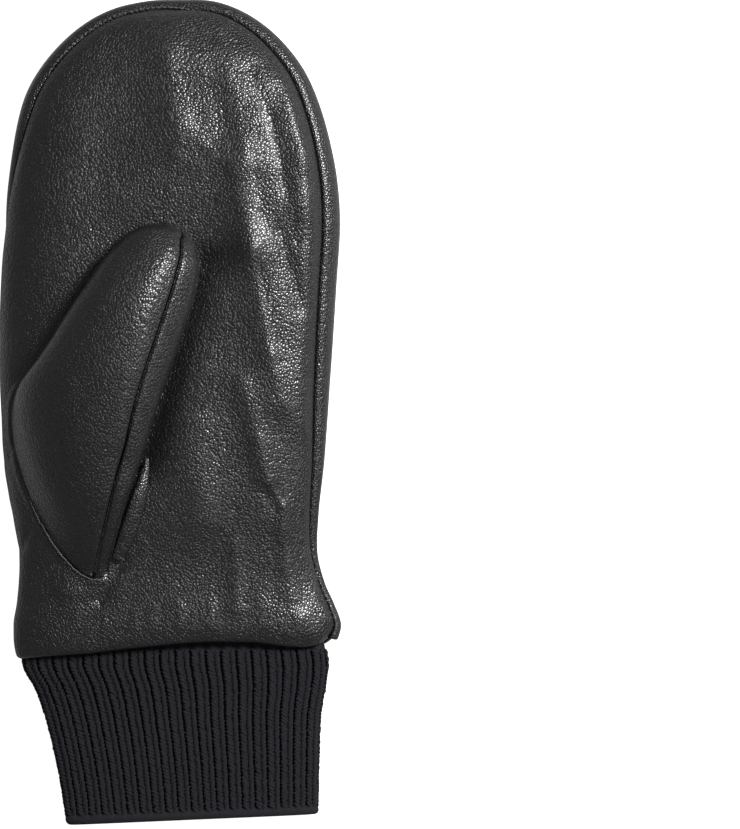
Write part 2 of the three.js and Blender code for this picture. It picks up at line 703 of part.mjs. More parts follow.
// Cells of a thumb piece between two seams, whose turns are given by functions of the station.
function thumbCells(columns, end, fromTurn, toTurn) {
  const faceGrid = (swell) => Array.from({ length: end + 2 }, (_, j) => {
    const station = Math.max(j - 1, 0) / thumbStations;
    return Array.from({ length: columns + 1 }, (_unused, i) => {
      const turn = THREE.MathUtils.lerp(fromTurn(station), toTurn(station), i / columns);
      return j === 0 ? thumbNeck(turn, swell) : thumbPoint(station, turn, swell);
    });
  });
  const outer = faceGrid(0);
  const inner = faceGrid(-leatherWall);
  const normals = gridNormals(outer);
  return outer.map((row, j) => row.map((point, i) => {
    const fade = 1 - THREE.MathUtils.smoothstep(j - 1, thumbTipFrom * thumbStations, thumbStations);
    const dip = normals[j][i].multiplyScalar(i === 0 || i === columns ? -thumbDipShare * seamDip * fade : 0);
    return { point: point.add(dip), inside: inner[j][i].add(dip) };
  }));
}

// Turn of a thumb seam, with half the seam gap to one side of it.
function thumbSeamTurn(name, station, side) {
  const turn = THREE.MathUtils.degToRad(column(thumbSeamRows, "station", name, station));
  const across = thumbWidth / 2 * Math.sqrt(Math.max(1 - station, leastTip));
  return turn + side * seamGap / across;
}

function thumbPanelMesh() {
  const from = (station) => thumbSeamTurn("upper", station, 1);
  const to = (station) => thumbSeamTurn("lower", station, -1) + 2 * Math.PI;
  const cells = thumbCells(thumbPanelColumns, thumbStations, from, to);
  return namedMesh("thumb_panel", leatherGeometry(cells), leatherMaterial);
}

function thumbStripMesh() {
  const from = (station) => thumbSeamTurn("lower", station, 1);
  const to = (station) => thumbSeamTurn("upper", station, -1);
  const cells = thumbCells(thumbStripColumns, thumbStations - 1, from, to);
  return namedMesh("thumb_strip", leatherGeometry(cells), leatherMaterial);
}

// The gusset lies on the palm, from beside the thumb's right edge out to its own edge.
function gussetMesh() {
  const outer = [];
  const inner = [];
  for (let j = 0; j <= gussetStations; j += 1) {
    const s = j / gussetStations;
    const along = evenColumn(gussetRows, "along", s);
    const edge = thumbPlan(along, evenColumn(gussetRows, "across", s));
    const byAlong = thumbRows.slice(0, crotchSections);
    const thumbEdge = thumbPlan(along, column(byAlong, "rightAlong", "rightAcross", along));
    const beside = thumbEdge.addScaledVector(thumbAcross, layGap);
    const fold = gussetBulge * evenColumn(gussetRows, "fold", s);
    const top = [];
    const bottom = [];
    for (let i = 0; i <= gussetColumns; i += 1) {
      const t = i / gussetColumns;
      const point = beside.clone().lerp(edge, t);
      point.z = palmSurface(point.x, point.y) + seamGap;
      bottom.push(point);
      const raised = point.clone();
      raised.z += gussetWall + fold * Math.sin(Math.PI * (1 - t) * gussetWave);
      top.push(raised);
    }
    outer.push(top);
    inner.push(bottom);
  }
  return namedMesh("thumb_gusset", closedGeometry(bodyBetween(outer, inner)), leatherMaterial);
}

// Closed prism over a plan outline, from one height to another.
function prism(outline, low, high) {
  const triangles = [];
  const at = (p, z) => new THREE.Vector3(p.x, p.y, z);
  const middle = outline.reduce((sum, p) => sum.add(p), new THREE.Vector3()).divideScalar(outline.length);
  outline.forEach((p, i) => {
    const q = outline[(i + 1) % outline.length];
    triangles.push([at(p, low), at(q, low), at(q, high)], [at(p, low), at(q, high), at(p, high)]);
    triangles.push([at(middle, low), at(q, low), at(p, low)], [at(middle, high), at(p, high), at(q, high)]);
  });
  return closedGeometry(triangles);
}

// The palm with the hole at the thumb root cut through it.
async function palmMesh() {
  const wasm = await Module();
  wasm.setup();
  const solidOf = (geometry) => {
    const vertProperties = new Float32Array(geometry.getAttribute("position").array);
    const triVerts = new Uint32Array(geometry.getIndex().array);
    return new wasm.Manifold(new wasm.Mesh({ numProp: 3, vertProperties, triVerts }));
  };
  const outline = Array.from({ length: holeSides }, (_, i) => {
    return thumbPoint(0, (i / holeSides) * 2 * Math.PI, seamGap);
  });
  const hole = prism(outline, rimHeight(thumbUp) + leatherWall, 2 * bodyThickness);
  const cut = solidOf(leatherGeometry(palmGrid())).subtract(solidOf(hole)).getMesh();
  const geometry = new THREE.BufferGeometry();
  geometry.setAttribute("position", new THREE.BufferAttribute(cut.vertProperties, 3));
  geometry.setIndex(new THREE.BufferAttribute(cut.triVerts, 1));
  return namedMesh("palm_panel", geometry, leatherMaterial);
}

// One ring of the cuff: a flattened oval, drawn evenly round, with its ribs as raised corners.
function cuffRing(row, inset, ribbed) {
  const left = row.left * halfWidth + inset;
  const right = row.right * halfWidth - inset;
  const low = row.low * cuffEndThickness + inset;
  const high = row.high * cuffEndThickness - inset;
  const middle = new THREE.Vector3((left + right) / 2, 0, (low + high) / 2);
  const halfAcross = (right - left) / 2;
  const halfHigh = (high - low) / 2;
  const oval = [];
  for (let i = 0; i < ovalSteps; i += 1) {
    const turn = (i / ovalSteps) * 2 * Math.PI;
    const x = halfAcross * Math.cos(turn);
    const z = halfHigh * Math.sign(Math.sin(turn)) * Math.abs(Math.sin(turn)) ** cuffFlatness;
    oval.push(new THREE.Vector3(middle.x + x, 0, middle.z + z));
  }
  const lengths = [0];
  oval.forEach((p, i) => lengths.push(lengths[i] + p.distanceTo(oval[(i + 1) % ovalSteps])));
  const total = lengths[ovalSteps];
  const count = ribCount * 2;
  const ring = [];
  let k = 0;
  for (let i = 0; i < count; i += 1) {
    const place = (i / count) * total;
    while (lengths[k + 1] < place) {
      k += 1;
    }
    const share = (place - lengths[k]) / (lengths[k + 1] - lengths[k]);
    const point = oval[k].clone().lerp(oval[(k + 1) % ovalSteps], share);
    if (ribbed && i % 2 === 1) {
      const ahead = oval[(k + 2) % ovalSteps];
      const behind = oval[(k + ovalSteps - 1) % ovalSteps];
      const inwards = new THREE.Vector3(-(ahead.z - behind.z), 0, ahead.x - behind.x).normalize();
      point.addScaledVector(inwards, ribDepth);
    }
    const lean = (right - point.x) / (right - left) - 0.5;
    const slant = cuffSlant * lean * Math.max(row.down, 0);
    point.y = -row.down * cuffLength - slant;
    ring.push(point);
  }
  return ring;
}

function cuffMesh() {
  const tuckShare = -cuffTuck / cuffLength;
  const rows = cuffRows.map((row, i) => (i === 0 ? { ...row, down: tuckShare } : row));
  const outer = rows.map((row) => cuffRing(row, 0, true));
  const inner = rows.map((row) => cuffRing(row, knitWall, false));
  return namedMesh("rib_cuff", closedGeometry(tubeBetween(outer, inner)), knitMaterial);
}

const group = new THREE.Group();
group.add(await palmMesh());
group.add(namedMesh("back_panel", leatherGeometry(backGrid()), leatherMaterial));
group.add(namedMesh("side_strip", leatherGeometry(stripGrid()), leatherMaterial));
group.add(thumbPanelMesh());
group.add(thumbStripMesh());
group.add(gussetMesh());
group.add(cuffMesh());

// The whole mitten is centred over the origin and stands on the surface.
const whole = new THREE.Box3().setFromObject(group);
const middle = whole.getCenter(new THREE.Vector3());
group.children.forEach((mesh) => mesh.position.set(-middle.x, -middle.y, -whole.min.z));

export default group;
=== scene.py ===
"""Leather mitten with a ribbed knit cuff, lying palm up on a pale studio floor.

Shapes are worked out in millimetres in the mitten's own plan: x = 0 at the middle of its
width, y = 0 at the leather hem, z = 0 on the floor. placed() moves them into the model's frame.
"""

import bmesh
import bpy
import numpy as np
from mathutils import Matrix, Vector


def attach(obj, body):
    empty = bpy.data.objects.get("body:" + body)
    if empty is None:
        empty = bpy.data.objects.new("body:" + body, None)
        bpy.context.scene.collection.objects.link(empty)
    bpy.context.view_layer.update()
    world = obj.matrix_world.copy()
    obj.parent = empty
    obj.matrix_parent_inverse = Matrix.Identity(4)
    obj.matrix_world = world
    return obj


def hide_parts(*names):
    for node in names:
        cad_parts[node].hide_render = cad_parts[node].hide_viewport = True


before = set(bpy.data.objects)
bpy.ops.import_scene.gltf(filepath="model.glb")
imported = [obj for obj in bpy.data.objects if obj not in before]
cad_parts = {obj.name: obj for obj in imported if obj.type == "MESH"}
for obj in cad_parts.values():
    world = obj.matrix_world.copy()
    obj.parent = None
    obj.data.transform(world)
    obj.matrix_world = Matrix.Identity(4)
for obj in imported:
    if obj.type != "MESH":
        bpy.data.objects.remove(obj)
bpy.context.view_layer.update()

# Sizes in millimetres, the same as the solid model's
LEATHER_LENGTH = 220.4
HALF_WIDTH = 58.2
THICKNESS = 25.0
PALM_ROUND = 26.0
BACK_ROUND = 18.0
PALM_CROWN = 1.6
WALL = 1.5
SEAM_GAP = 0.3
SEAM_DIP = 0.9
SEAM_REACH = 3.0
ELASTIC_HEIGHT = 25.0
ELASTIC_LIFT = 3.6
ELASTIC_REACH = 10.0
GATHER_DEPTH = 1.7
GATHER_REACH = 15.0
GATHERS = 14
ZIGZAG = 1.9
HEM_CALM = 11.0
THUMB_LENGTH = 95.0
THUMB_WIDTH = 45.0
THUMB_RISE = 18.0
THUMB_ANGLE = np.radians(23.6)
THUMB_ROOT = np.array([-HALF_WIDTH + 21.7, 57.0])
ROOT_BULGE = 13.0
ROOT_LEAN = np.radians(225)
LAY_GAP = 0.5
INSET_SHARE = 0.3
TIP_FROM = 0.75
GUSSET_WALL = 1.2
GUSSET_BULGE = 1.7
GUSSET_WAVE = 0.66
GUSSET_SIDE = 8
CUFF_LENGTH = 57.7
CUFF_TUCK = 8.0
CUFF_THICKNESS = 12.5
CUFF_SLANT = 3.6
CUFF_FLATNESS = 0.55
KNIT_WALL = 2.5
RIBS = 42
RIB_DEPTH = 0.8
ROLLED_END = 3.0
PLACE = np.array([0.0208, -80.6668, 0.0])

# Sizes that only the fine surface has, in millimetres
SEAM_EDGE = 1.2
HEM_EDGE = 0.95
HEM_INNER_EDGE = 0.8
THUMB_EDGE = 1.1
BASE_SEAM_RISE = 0.6
BASE_SEAM_REACH = 0.75
ELASTIC_PRESS = 1.1
STITCH_ROWS = 45
STITCH_SIZE = (2.7, 1.35, 1.0)
THREAD_SIZE = (1.7, 0.5, 0.5)
LOOP_FROM, LOOP_TO = (-19.3, 34.6), (-15.9, 30.9)

# In metres
MM = 0.001
MERGE_DISTANCE = 2e-6
SHORTEST_EDGE = 1e-9

# Outline of the leather from above: share of the half width, share of the length
OUTLINE = np.array([
    (-0.923, -0.009), (-0.912, 0.039), (-0.894, 0.08), (-0.879, 0.136), (-0.912, 0.195),
    (-0.965, 0.278), (-0.994, 0.386), (-1.0, 0.495), (-0.982, 0.618), (-0.941, 0.734),
    (-0.876, 0.832), (-0.764, 0.895), (-0.581, 0.949), (-0.369, 0.985), (-0.145, 1.0),
    (0.062, 1.002), (0.268, 0.999), (0.469, 0.977), (0.652, 0.938), (0.799, 0.886),
    (0.906, 0.813), (0.971, 0.733), (0.994, 0.652), (0.976, 0.556), (0.947, 0.425),
    (0.912, 0.294), (0.87, 0.209), (0.861, 0.151), (0.9, 0.105), (0.953, 0.073),
    (0.997, 0.04), (0.976, 0.014),
])
# Share of the length, height of the palm and of the rim as shares of the thickness
SECTION = np.array([
    (-0.02, 0.72, 0.38), (0.05, 0.76, 0.4), (0.12, 0.78, 0.42), (0.25, 0.94, 0.42),
    (0.45, 1.0, 0.42), (0.7, 0.98, 0.42), (0.88, 0.9, 0.4), (1.0, 0.82, 0.38),
])
# Share of the way round, turn of the palm seam, turn of the back seam
SEAMS = np.array([
    (0.0, 1.15, 1.67), (0.055, 1.32, 1.78), (0.085, 1.38, 1.66), (0.17, 1.14, 1.56),
    (0.24, 1.12, 1.48), (0.28, 1.03, 1.38), (0.33, 0.82, 1.27), (0.37, 0.69, 1.22),
    (0.5, 0.71, 1.22), (0.6, 0.63, 1.2), (0.68, 0.6, 1.2), (0.76, 0.58, 1.08),
    (0.83, 0.6, 1.02), (0.88, 0.66, 1.02), (0.92, 0.75, 1.12), (0.955, 0.82, 1.2),
    (1.0, 0.76, 1.2),
])
PALM_SEAM, BACK_SEAM = 1, 2
# Share across, bow of the hem as a share of the length
PALM_HEM = np.array([
    (0.0, 0.0), (0.08, -0.0085), (0.14, -0.009), (0.25, -0.006), (0.4, -0.0015),
    (0.61, 0.0015), (0.76, -0.0025), (0.91, -0.0095), (1.0, 0.0),
])
BACK_HEM = np.array([(0.0, 0.0), (0.2, 0.0014), (0.53, 0.0046), (0.86, -0.013), (1.0, 0.0)])
# Folds: x1, y1, x2, y2, reach, height, in shares as in the solid model
PALM_FOLDS = np.array([
    (-0.02, 0.915, 0.05, 0.81, 0.16, 0.072), (0.25, 0.9, 0.36, 0.77, 0.07, -0.03),
    (0.26, 0.893, 0.42, 0.76, 0.12, 0.048), (0.42, 0.76, 0.476, 0.616, 0.12, 0.044),
    (0.476, 0.616, 0.615, 0.385, 0.12, 0.05), (0.49, 0.907, 0.7, 0.69, 0.08, 0.018),
    (0.423, 0.408, 0.563, 0.265, 0.08, 0.036), (0.66, 0.208, 0.7, 0.085, 0.055, 0.022),
    (0.13, 0.338, 0.17, 0.2, 0.15, 0.036), (0.38, 0.162, 0.38, 0.065, 0.052, 0.02),
    (0.18, 0.6, -0.19, 0.29, 0.14, -0.08), (-0.34, 0.105, -0.6, 0.09, 0.06, 0.036),
    (-0.6, 0.09, -0.85, 0.04, 0.071, 0.03), (-0.53, 0.85, -0.55, 0.71, 0.13, 0.012),
    (0.84, 0.76, 0.8, 0.35, 0.11, 0.056), (0.68, 0.88, 0.84, 0.76, 0.11, 0.045),
    (-0.42, 0.9, -0.42, 0.69, 0.2, -0.016), (-0.265, 0.631, 0.172, 0.654, 0.17, -0.048),
])
BACK_FOLDS = np.array([
    (0.11, 0.94, -0.14, 0.866, 0.118, -0.064), (-0.14, 0.866, -0.08, 0.751, 0.106, -0.052),
    (-0.36, 0.441, 0.05, 0.465, 0.118, -0.064), (0.05, 0.465, 0.42, 0.359, 0.13, -0.064),
    (-0.64, 0.229, -0.45, 0.138, 0.06, -0.052), (0.44, 0.232, 0.38, 0.139, 0.06, -0.04),
    (0.12, 0.093, 0.13, 0.04, 0.06, -0.12), (-0.14, 0.093, -0.12, 0.05, 0.06, -0.06),
])
# Small sharp creases and puckers of the palm, in millimetres: x1, y1, x2, y2, reach, height
PALM_CREASES = np.array([
    (-16.1, 30.5, -24.0, 17.0, 2.6, -1.0), (-13.6, 27.5, -18.6, 15.0, 2.8, 0.45),
    (33.1, 57.0, 38.2, 48.5, 1.3, 0.5),
    (31.6, 55.0, 36.6, 46.5, 1.7, -0.5), (44.0, 10.5, 44.6, 9.0, 3.2, 0.7),
    (24.6, 89.9, 29.7, 71.2, 3.8, 0.4), (29.7, 71.2, 32.7, 58.4, 3.4, 0.45),
    (38.2, 48.5, 37.9, 40.7, 2.6, 0.4), (37.9, 40.7, 39.5, 27.1, 2.6, 0.4),
    (21.5, 35.6, 22.9, 14.2, 3.2, 0.25), (19.5, 169.6, 27.7, 135.7, 3.5, 0.45),
    (27.7, 135.7, 34.4, 100.0, 3.5, 0.45), (34.4, 100.0, 38.8, 81.4, 3.5, 0.45),
    (-1.9, 205.3, 2.5, 167.9, 4.5, 0.2), (3.2, 166.2, 10.0, 163.5, 4.5, 0.4),
    (10.0, 163.5, 17.5, 166.9, 4.5, 0.35),
    (11.5, 171.0, 15.5, 167.0, 3.6, 0.6), (-31.7, 14.2, -32.0, 8.0, 1.8, 0.3),
    (-21.9, 14.6, -22.2, 8.0, 1.7, 0.25), (-12.0, 14.0, -12.2, 8.0, 1.8, 0.35),
    (-5.9, 13.6, -6.2, 8.2, 1.6, 0.3), (3.2, 14.6, 3.0, 8.4, 1.9, 0.4),
    (13.7, 15.0, 13.4, 8.0, 1.8, 0.35), (31.0, 15.0, 31.2, 8.0, 1.8, 0.25),
    (-51.0, 74.6, -54.8, 64.5, 1.6, -0.5), (-48.0, 40.4, -50.2, 34.6, 1.6, -0.6),
    (9.5, 131.0, -10.0, 64.0, 6.0, -2.2), (27.0, 197.0, 34.4, 180.0, 2.6, -0.35),
    (34.4, 180.0, 39.5, 156.0, 2.4, -0.6), (39.5, 156.0, 42.9, 139.0, 2.4, -0.4),
    (40.5, 186.6, 45.6, 147.6, 5.0, 0.7),
    (37.0, 142.0, 44.5, 116.0, 2.4, -0.8), (30.0, 130.0, 37.5, 98.0, 2.2, -0.45),
    (27.0, 170.0, 33.0, 142.0, 2.0, -0.2), (8.0, 66.0, 11.9, 45.0, 8.0, 0.7),
])
# Thumb sections: left along, left across, right along, right across, under, side, rise, bulge
THUMB = np.array([
    (0.243, -0.578, -0.24, 0.575, 0, 0.01, 0.02, 1), (0.263, -0.58, -0.114, 0.542, 0, 0.18, 0.42, 0.72),
    (0.313, -0.561, 0.055, 0.509, 0, 0.3, 0.72, 0.36), (0.399, -0.524, 0.196, 0.494, 0, 0.38, 0.9, 0.1),
    (0.529, -0.48, 0.378, 0.45, 0, 0.42, 1, 0), (0.664, -0.431, 0.552, 0.421, 0, 0.42, 0.99, 0),
    (0.783, -0.385, 0.71, 0.391, 0, 0.4, 0.93, 0), (0.851, -0.34, 0.81, 0.364, 0, 0.37, 0.86, 0),
    (0.909, -0.287, 0.901, 0.314, 0, 0.34, 0.76, 0), (0.951, -0.21, 0.956, 0.238, 0.02, 0.29, 0.62, 0),
    (0.979, -0.12, 0.984, 0.147, 0.08, 0.25, 0.47, 0), (1, 0, 1, 0, 0.22, 0.22, 0.22, 0),
])
# Thumb seams: station, upper and lower turn in degrees
THUMB_SEAMS = np.array([
    (0, 20, -6), (0.09, 26, -5), (0.18, 36, -4), (0.27, 45, -2), (0.36, 52, 0), (0.55, 58, 4),
    (0.73, 62, 6), (0.86, 62, 8), (0.94, 46, 20), (1, 38, 30),
])
GUSSET = np.array([
    (0.2, 0.53, 0.15), (0.15, 0.58, 0.6), (0.063, 0.635, 1), (-0.055, 0.672, 1),
    (-0.12, 0.668, 0.6), (-0.175, 0.648, 0.15),
])
# Cuff: share down, left and right edge, low and high side
CUFF = np.array([
    (-0.131, -0.85, 0.9, 0.32, 1.1), (-0.03, -0.858, 0.909, 0.21, 1.14),
    (0.035, -0.87, 0.922, 0.15, 1.16), (0.101, -0.864, 0.925, 0.05, 1.14),
    (0.223, -0.796, 0.909, 0.0, 1.08), (0.391, -0.735, 0.882, 0.0, 1.03),
    (0.7, -0.66, 0.87, 0.0, 1.0), (1.0, -0.611, 0.864, 0.0, 1.0),
])


# Curves and tables


def smoothstep(x, low, high):
    """0 below low, 1 above high, and 3t^2 - 2t^3 between."""
    t = np.clip((x - low) / (high - low), 0, 1)
    return t * t * (3 - 2 * t)


def column(keys, values, x):
    """Smooth value of a table: a cubic through its rows, each slope taken from the neighbours."""
    last = len(keys) - 1
    before = np.maximum(np.arange(last + 1) - 1, 0)
    after = np.minimum(np.arange(last + 1) + 1, last)
    slope = (values[after] - values[before]) / (keys[after] - keys[before])
    x = np.asarray(x, float)
    i = np.searchsorted(keys[1:last], x, side="left")
    span = keys[i + 1] - keys[i]
    t = np.clip((x - keys[i]) / span, 0, 1)
    start = (2 * t**3 - 3 * t**2 + 1) * values[i] + (t**3 - 2 * t**2 + t) * span * slope[i]
    end = (3 * t**2 - 2 * t**3) * values[i + 1] + (t**3 - t**2) * span * slope[i + 1]
    return start + end


def even_column(values, s):
    """The same for rows spaced evenly from 0 to 1."""
    return column(np.linspace(0, 1, len(values)), values, s)


def noise(x, y, size, seed):
    """Soft random relief from -1 to 1: random heights on a square lattice, blended by quintics."""
    heights = np.random.default_rng(seed).uniform(-1, 1, (128, 128))
    u, v = x / size + 64, y / size + 64
    i, j = np.floor(u).astype(int), np.floor(v).astype(int)
    a, b = u - i, v - j
    a, b = (t**3 * (t * (6 * t - 15) + 10) for t in (a, b))
    row = [(1 - a) * heights[i % 128, k % 128] + a * heights[(i + 1) % 128, k % 128] for k in (j, j + 1)]
    return (1 - b) * row[0] + b * row[1]


def outline_points(steps):
    """Points evenly along the outline: a uniform cubic through its rows, spaced by its length."""
    ends = [2 * OUTLINE[0] - OUTLINE[1]], [2 * OUTLINE[-1] - OUTLINE[-2]]
    p = np.concatenate([ends[0], OUTLINE, ends[1]]) * (HALF_WIDTH, LEATHER_LENGTH)

    def at(share):
        place = share * (len(OUTLINE) - 1)
        i = np.minimum(place.astype(int), len(OUTLINE) - 2)
        t = (place - i)[:, None]
        a, b, c, d = p[i], p[i + 1], p[i + 2], p[i + 3]
        m, n = (c - a) / 2, (d - b) / 2
        return b + m * t + (3 * (c - b) - 2 * m - n) * t**2 + (2 * (b - c) + m + n) * t**3

    coarse = np.linspace(0, 1, 201)
    steps_along = np.linalg.norm(np.diff(at(coarse), axis=0), axis=1)
    length = np.concatenate([[0], np.cumsum(steps_along)])
    return at(np.interp(np.linspace(0, length[-1], steps + 1), length, coarse))


RIM = outline_points(520)
RIM_SIDE = np.diff(RIM, axis=0)
_ahead = np.concatenate([RIM[1:], RIM[-1:]]) - np.concatenate([RIM[:1], RIM[:-1]])
RIM_INWARDS = np.stack([_ahead[:, 1], -_ahead[:, 0]], 1)
RIM_INWARDS /= np.linalg.norm(RIM_INWARDS, axis=1)[:, None]


def unit(v):
    """Vectors of length one; a vector of no length points up."""
    length = np.linalg.norm(v, axis=-1, keepdims=True)
    return np.where(length > 1e-9, v / np.maximum(length, 1e-9), (0, 0, 1)[: v.shape[-1]])


def rim_at(around):
    """Point of the rim and its inward direction, at shares of the way round."""
    place = np.clip(around, 0, 1) * (len(RIM) - 1)
    i = np.minimum(place.astype(int), len(RIM) - 2)
    t = (place - i)[..., None]
    return RIM[i] * (1 - t) + RIM[i + 1] * t, unit(RIM_INWARDS[i] * (1 - t) + RIM_INWARDS[i + 1] * t)


def rim_near(plan):
    """Distance of plan points inside the rim, the inward direction there, and the share round."""
    shape = plan.shape[:-1]
    flat = plan.reshape(-1, 2)
    low = np.where(np.arange(len(RIM_SIDE)) == 0, -np.inf, 0)
    high = np.where(np.arange(len(RIM_SIDE)) == len(RIM_SIDE) - 1, np.inf, 1)
    found = []
    for part in np.array_split(flat, max(len(flat) // 4000, 1)):
        rel = part[:, None] - RIM[None, :-1]
        t = np.clip((rel * RIM_SIDE).sum(2) / (RIM_SIDE**2).sum(1), low, high)
        foot = rel - t[..., None] * RIM_SIDE
        best = (foot**2).sum(2).argmin(1)
        rows = np.arange(len(part))
        t, foot = t[rows, best], foot[rows, best]
        blend = np.clip(t, 0, 1)[:, None]
        inwards = unit(RIM_INWARDS[best] * (1 - blend) + RIM_INWARDS[best + 1] * blend)
        side = np.where((foot * inwards).sum(1) >= 0, 1, -1)
        depth = side * np.linalg.norm(foot, axis=1)
        found.append(np.column_stack([depth, inwards, (best + blend[:, 0]) / (len(RIM) - 1)]))
    found = np.concatenate(found)
    return found[:, 0].reshape(shape), found[:, 1:3].reshape(*shape, 2), found[:, 3].reshape(shape)


# Section of the body


def rim_height(y):
    return THICKNESS * column(SECTION[:, 0], SECTION[:, 2], y / LEATHER_LENGTH)


def palm_height(y):
    return THICKNESS * column(SECTION[:, 0], SECTION[:, 1], y / LEATHER_LENGTH)


def height_at_turn(turn, y):
    """Height of the section: turn 0 is the level palm, 1 the rim and 2 the floor."""
    rim = rim_height(y)
    reach = np.where(turn < 1, palm_height(y) - rim, rim)
    return rim + reach * np.cos(turn * np.pi / 2)


def depth_at_turn(turn):
    return np.where(turn < 1, PALM_ROUND, BACK_ROUND) * (1 - np.sin(turn * np.pi / 2))


def normal_at_turn(turn, inwards, y):
    """Outward direction of the section, from the two half axes of its ellipse."""
    rim = rim_height(y)
    reach = np.where(turn < 1, palm_height(y) - rim, rim)
    flat = -inwards * (reach * np.sin(turn * np.pi / 2))[..., None]
    level = np.where(turn < 1, PALM_ROUND, BACK_ROUND) * np.cos(turn * np.pi / 2)
    return unit(np.concatenate([flat, level[..., None]], -1))


def turn_of_palm(flat):
    return np.maximum(1 - flat / np.where(flat > 0, PALM_ROUND, BACK_ROUND), 0)


def turn_of_back(flat):
    return np.minimum(1 + flat / np.where(flat > 0, BACK_ROUND, PALM_ROUND), 2)


def flat_of_palm(turn):
    return (1 - turn) * np.where(turn < 1, PALM_ROUND, BACK_ROUND)


def flat_of_back(turn):
    return (turn - 1) * np.where(turn > 1, BACK_ROUND, PALM_ROUND)


def segment_distance(x, y, x1, y1, x2, y2):
    """Distance of plan points from the straight line between two points."""
    bx, by = x2 - x1, y2 - y1
    t = np.clip(((x - x1) * bx + (y - y1) * by) / (bx * bx + by * by), 0, 1)
    return np.hypot(x - x1 - t * bx, y - y1 - t * by)


def folds_at(rows, x, y):
    """Sum of soft ridges, each height * exp(-(distance from its line / reach)^2), calm at the hem."""
    total = np.zeros_like(x)
    for x1, y1, x2, y2, reach, height in rows:
        ends = x1 * HALF_WIDTH, y1 * LEATHER_LENGTH, x2 * HALF_WIDTH, y2 * LEATHER_LENGTH
        away = segment_distance(x, y, *ends) / (reach * HALF_WIDTH)
        total += height * THICKNESS * np.exp(-(away**2))
    return total * smoothstep(y, 0, HEM_CALM)


def crown_at(depth):
    return PALM_CROWN * smoothstep(depth, PALM_ROUND / 2, HALF_WIDTH)


def dip_at(away):
    return -SEAM_DIP * np.exp(-((away / SEAM_REACH) ** 2))


def inside_seam(away):
    return smoothstep(away, 0, 2 * SEAM_REACH)


def palm_surface(plan):
    """Height of the palm's outer face over plan points."""
    depth, _, _ = rim_near(plan)
    x, y = plan[..., 0], plan[..., 1]
    side = np.clip(1 - depth / PALM_ROUND, 0, 1)
    rim = rim_height(y)
    smooth = rim + (palm_height(y) - rim) * np.sqrt(1 - side**2)
    return smooth + crown_at(depth) + folds_at(PALM_FOLDS, x, y)


def lift_by_elastic(point, gather):
    """The elastic lifts what lies under the rim, and adds the gathers of the back."""
    away = point[..., 1] - ELASTIC_HEIGHT
    drawn = ELASTIC_LIFT * np.exp(-((away / ELASTIC_REACH) ** 2))
    raised = gather * GATHER_DEPTH * np.exp(-((away / GATHER_REACH) ** 2))
    low = 1 - smoothstep(point[..., 2], 0, rim_height(point[..., 1]))
    point[..., 2] += (drawn * low + raised) * smoothstep(point[..., 1], 0, HEM_CALM)
    return point


def roll(away, radius):
    """How far a rounded edge sinks: a quarter circle of that radius down to the edge."""
    t = np.clip(1 - away / radius, 0, 1)
    return -radius * (1 - np.sqrt(1 - t * t))


# Meshes


def placed(points):
    """Millimetres of the mitten's plan to metres of the model's frame."""
    return (points + PLACE) * MM


def make_object(name, points, faces, material):
    """A mesh object at the origin. Faces are turned outwards by the sign of the enclosed volume."""
    co = placed(points.reshape(-1, 3))
    a, b, c = (co[faces[:, k]] for k in range(3))
    volume = np.einsum("ij,ij->", a, np.cross(b, c))
    if faces.shape[1] == 4:
        volume += np.einsum("ij,ij->", a, np.cross(c, co[faces[:, 3]]))
    faces = faces if volume > 0 else faces[:, ::-1]
    mesh = bpy.data.meshes.new(name)
    corners = faces.shape[1]
    mesh.vertices.add(len(co))
    mesh.vertices.foreach_set("co", co.astype(np.float32).ravel())
    mesh.loops.add(faces.size)
    mesh.loops.foreach_set("vertex_index", np.ascontiguousarray(faces, np.int32).ravel())
    mesh.polygons.add(len(faces))
    mesh.polygons.foreach_set("loop_start", np.arange(0, faces.size, corners, dtype=np.int32))
    mesh.polygons.foreach_set("use_smooth", np.ones(len(faces), bool))
    mesh.update(calc_edges=True)
    obj = bpy.data.objects.new(name, mesh)
    bpy.context.scene.collection.objects.link(obj)
    mesh.materials.append(material)
    return obj


def merge_poles(obj):
    """Joins points that lie on one another, so that poles are closed."""
    work = bmesh.new()
    work.from_mesh(obj.data)
    bmesh.ops.remove_doubles(work, verts=work.verts, dist=MERGE_DISTANCE)
    bmesh.ops.dissolve_degenerate(work, edges=work.edges, dist=SHORTEST_EDGE)
    work.to_mesh(obj.data)
    work.free()
    return obj


def wall_faces(rows, columns, kept=None, ring=False):
    """Quads of a closed wall between an outer and an inner grid.

    kept marks the cells that stay. An edge between a kept cell and a missing one, or the grid's
    own border, gets a quad that joins the outer face to the inner one. A ring's rows are closed.
    """
    cells = columns if ring else columns - 1
    kept = np.ones((rows - 1, cells), bool) if kept is None else kept
    inner = rows * columns
    j, i = np.nonzero(kept)
    n = (i + 1) % columns
    a, b, c, d = j * columns + i, j * columns + n, (j + 1) * columns + n, (j + 1) * columns + i
    quads = [np.stack([a, b, c, d], 1), np.stack([a, d, c, b], 1) + inner]

    def border(j1, i1, j2, i2):
        p, q = j1 * columns + i1 % columns, j2 * columns + i2 % columns
        quads.append(np.stack([p, q, q + inner, p + inner], 1))

    if not ring:
        wide = np.pad(kept, ((0, 0), (1, 1)))
        j, i = np.nonzero(wide[:, 1:] & ~wide[:, :-1])
        border(j, i, j + 1, i)
        j, i = np.nonzero(wide[:, :-1] & ~wide[:, 1:])
        border(j + 1, i, j, i)
    tall = np.pad(kept, ((1, 1), (0, 0)))
    j, i = np.nonzero(tall[1:] & ~tall[:-1])
    border(j, i + 1, j, i)
    j, i = np.nonzero(tall[:-1] & ~tall[1:])
    border(j, i, j, i + 1)
    return np.concatenate(quads)


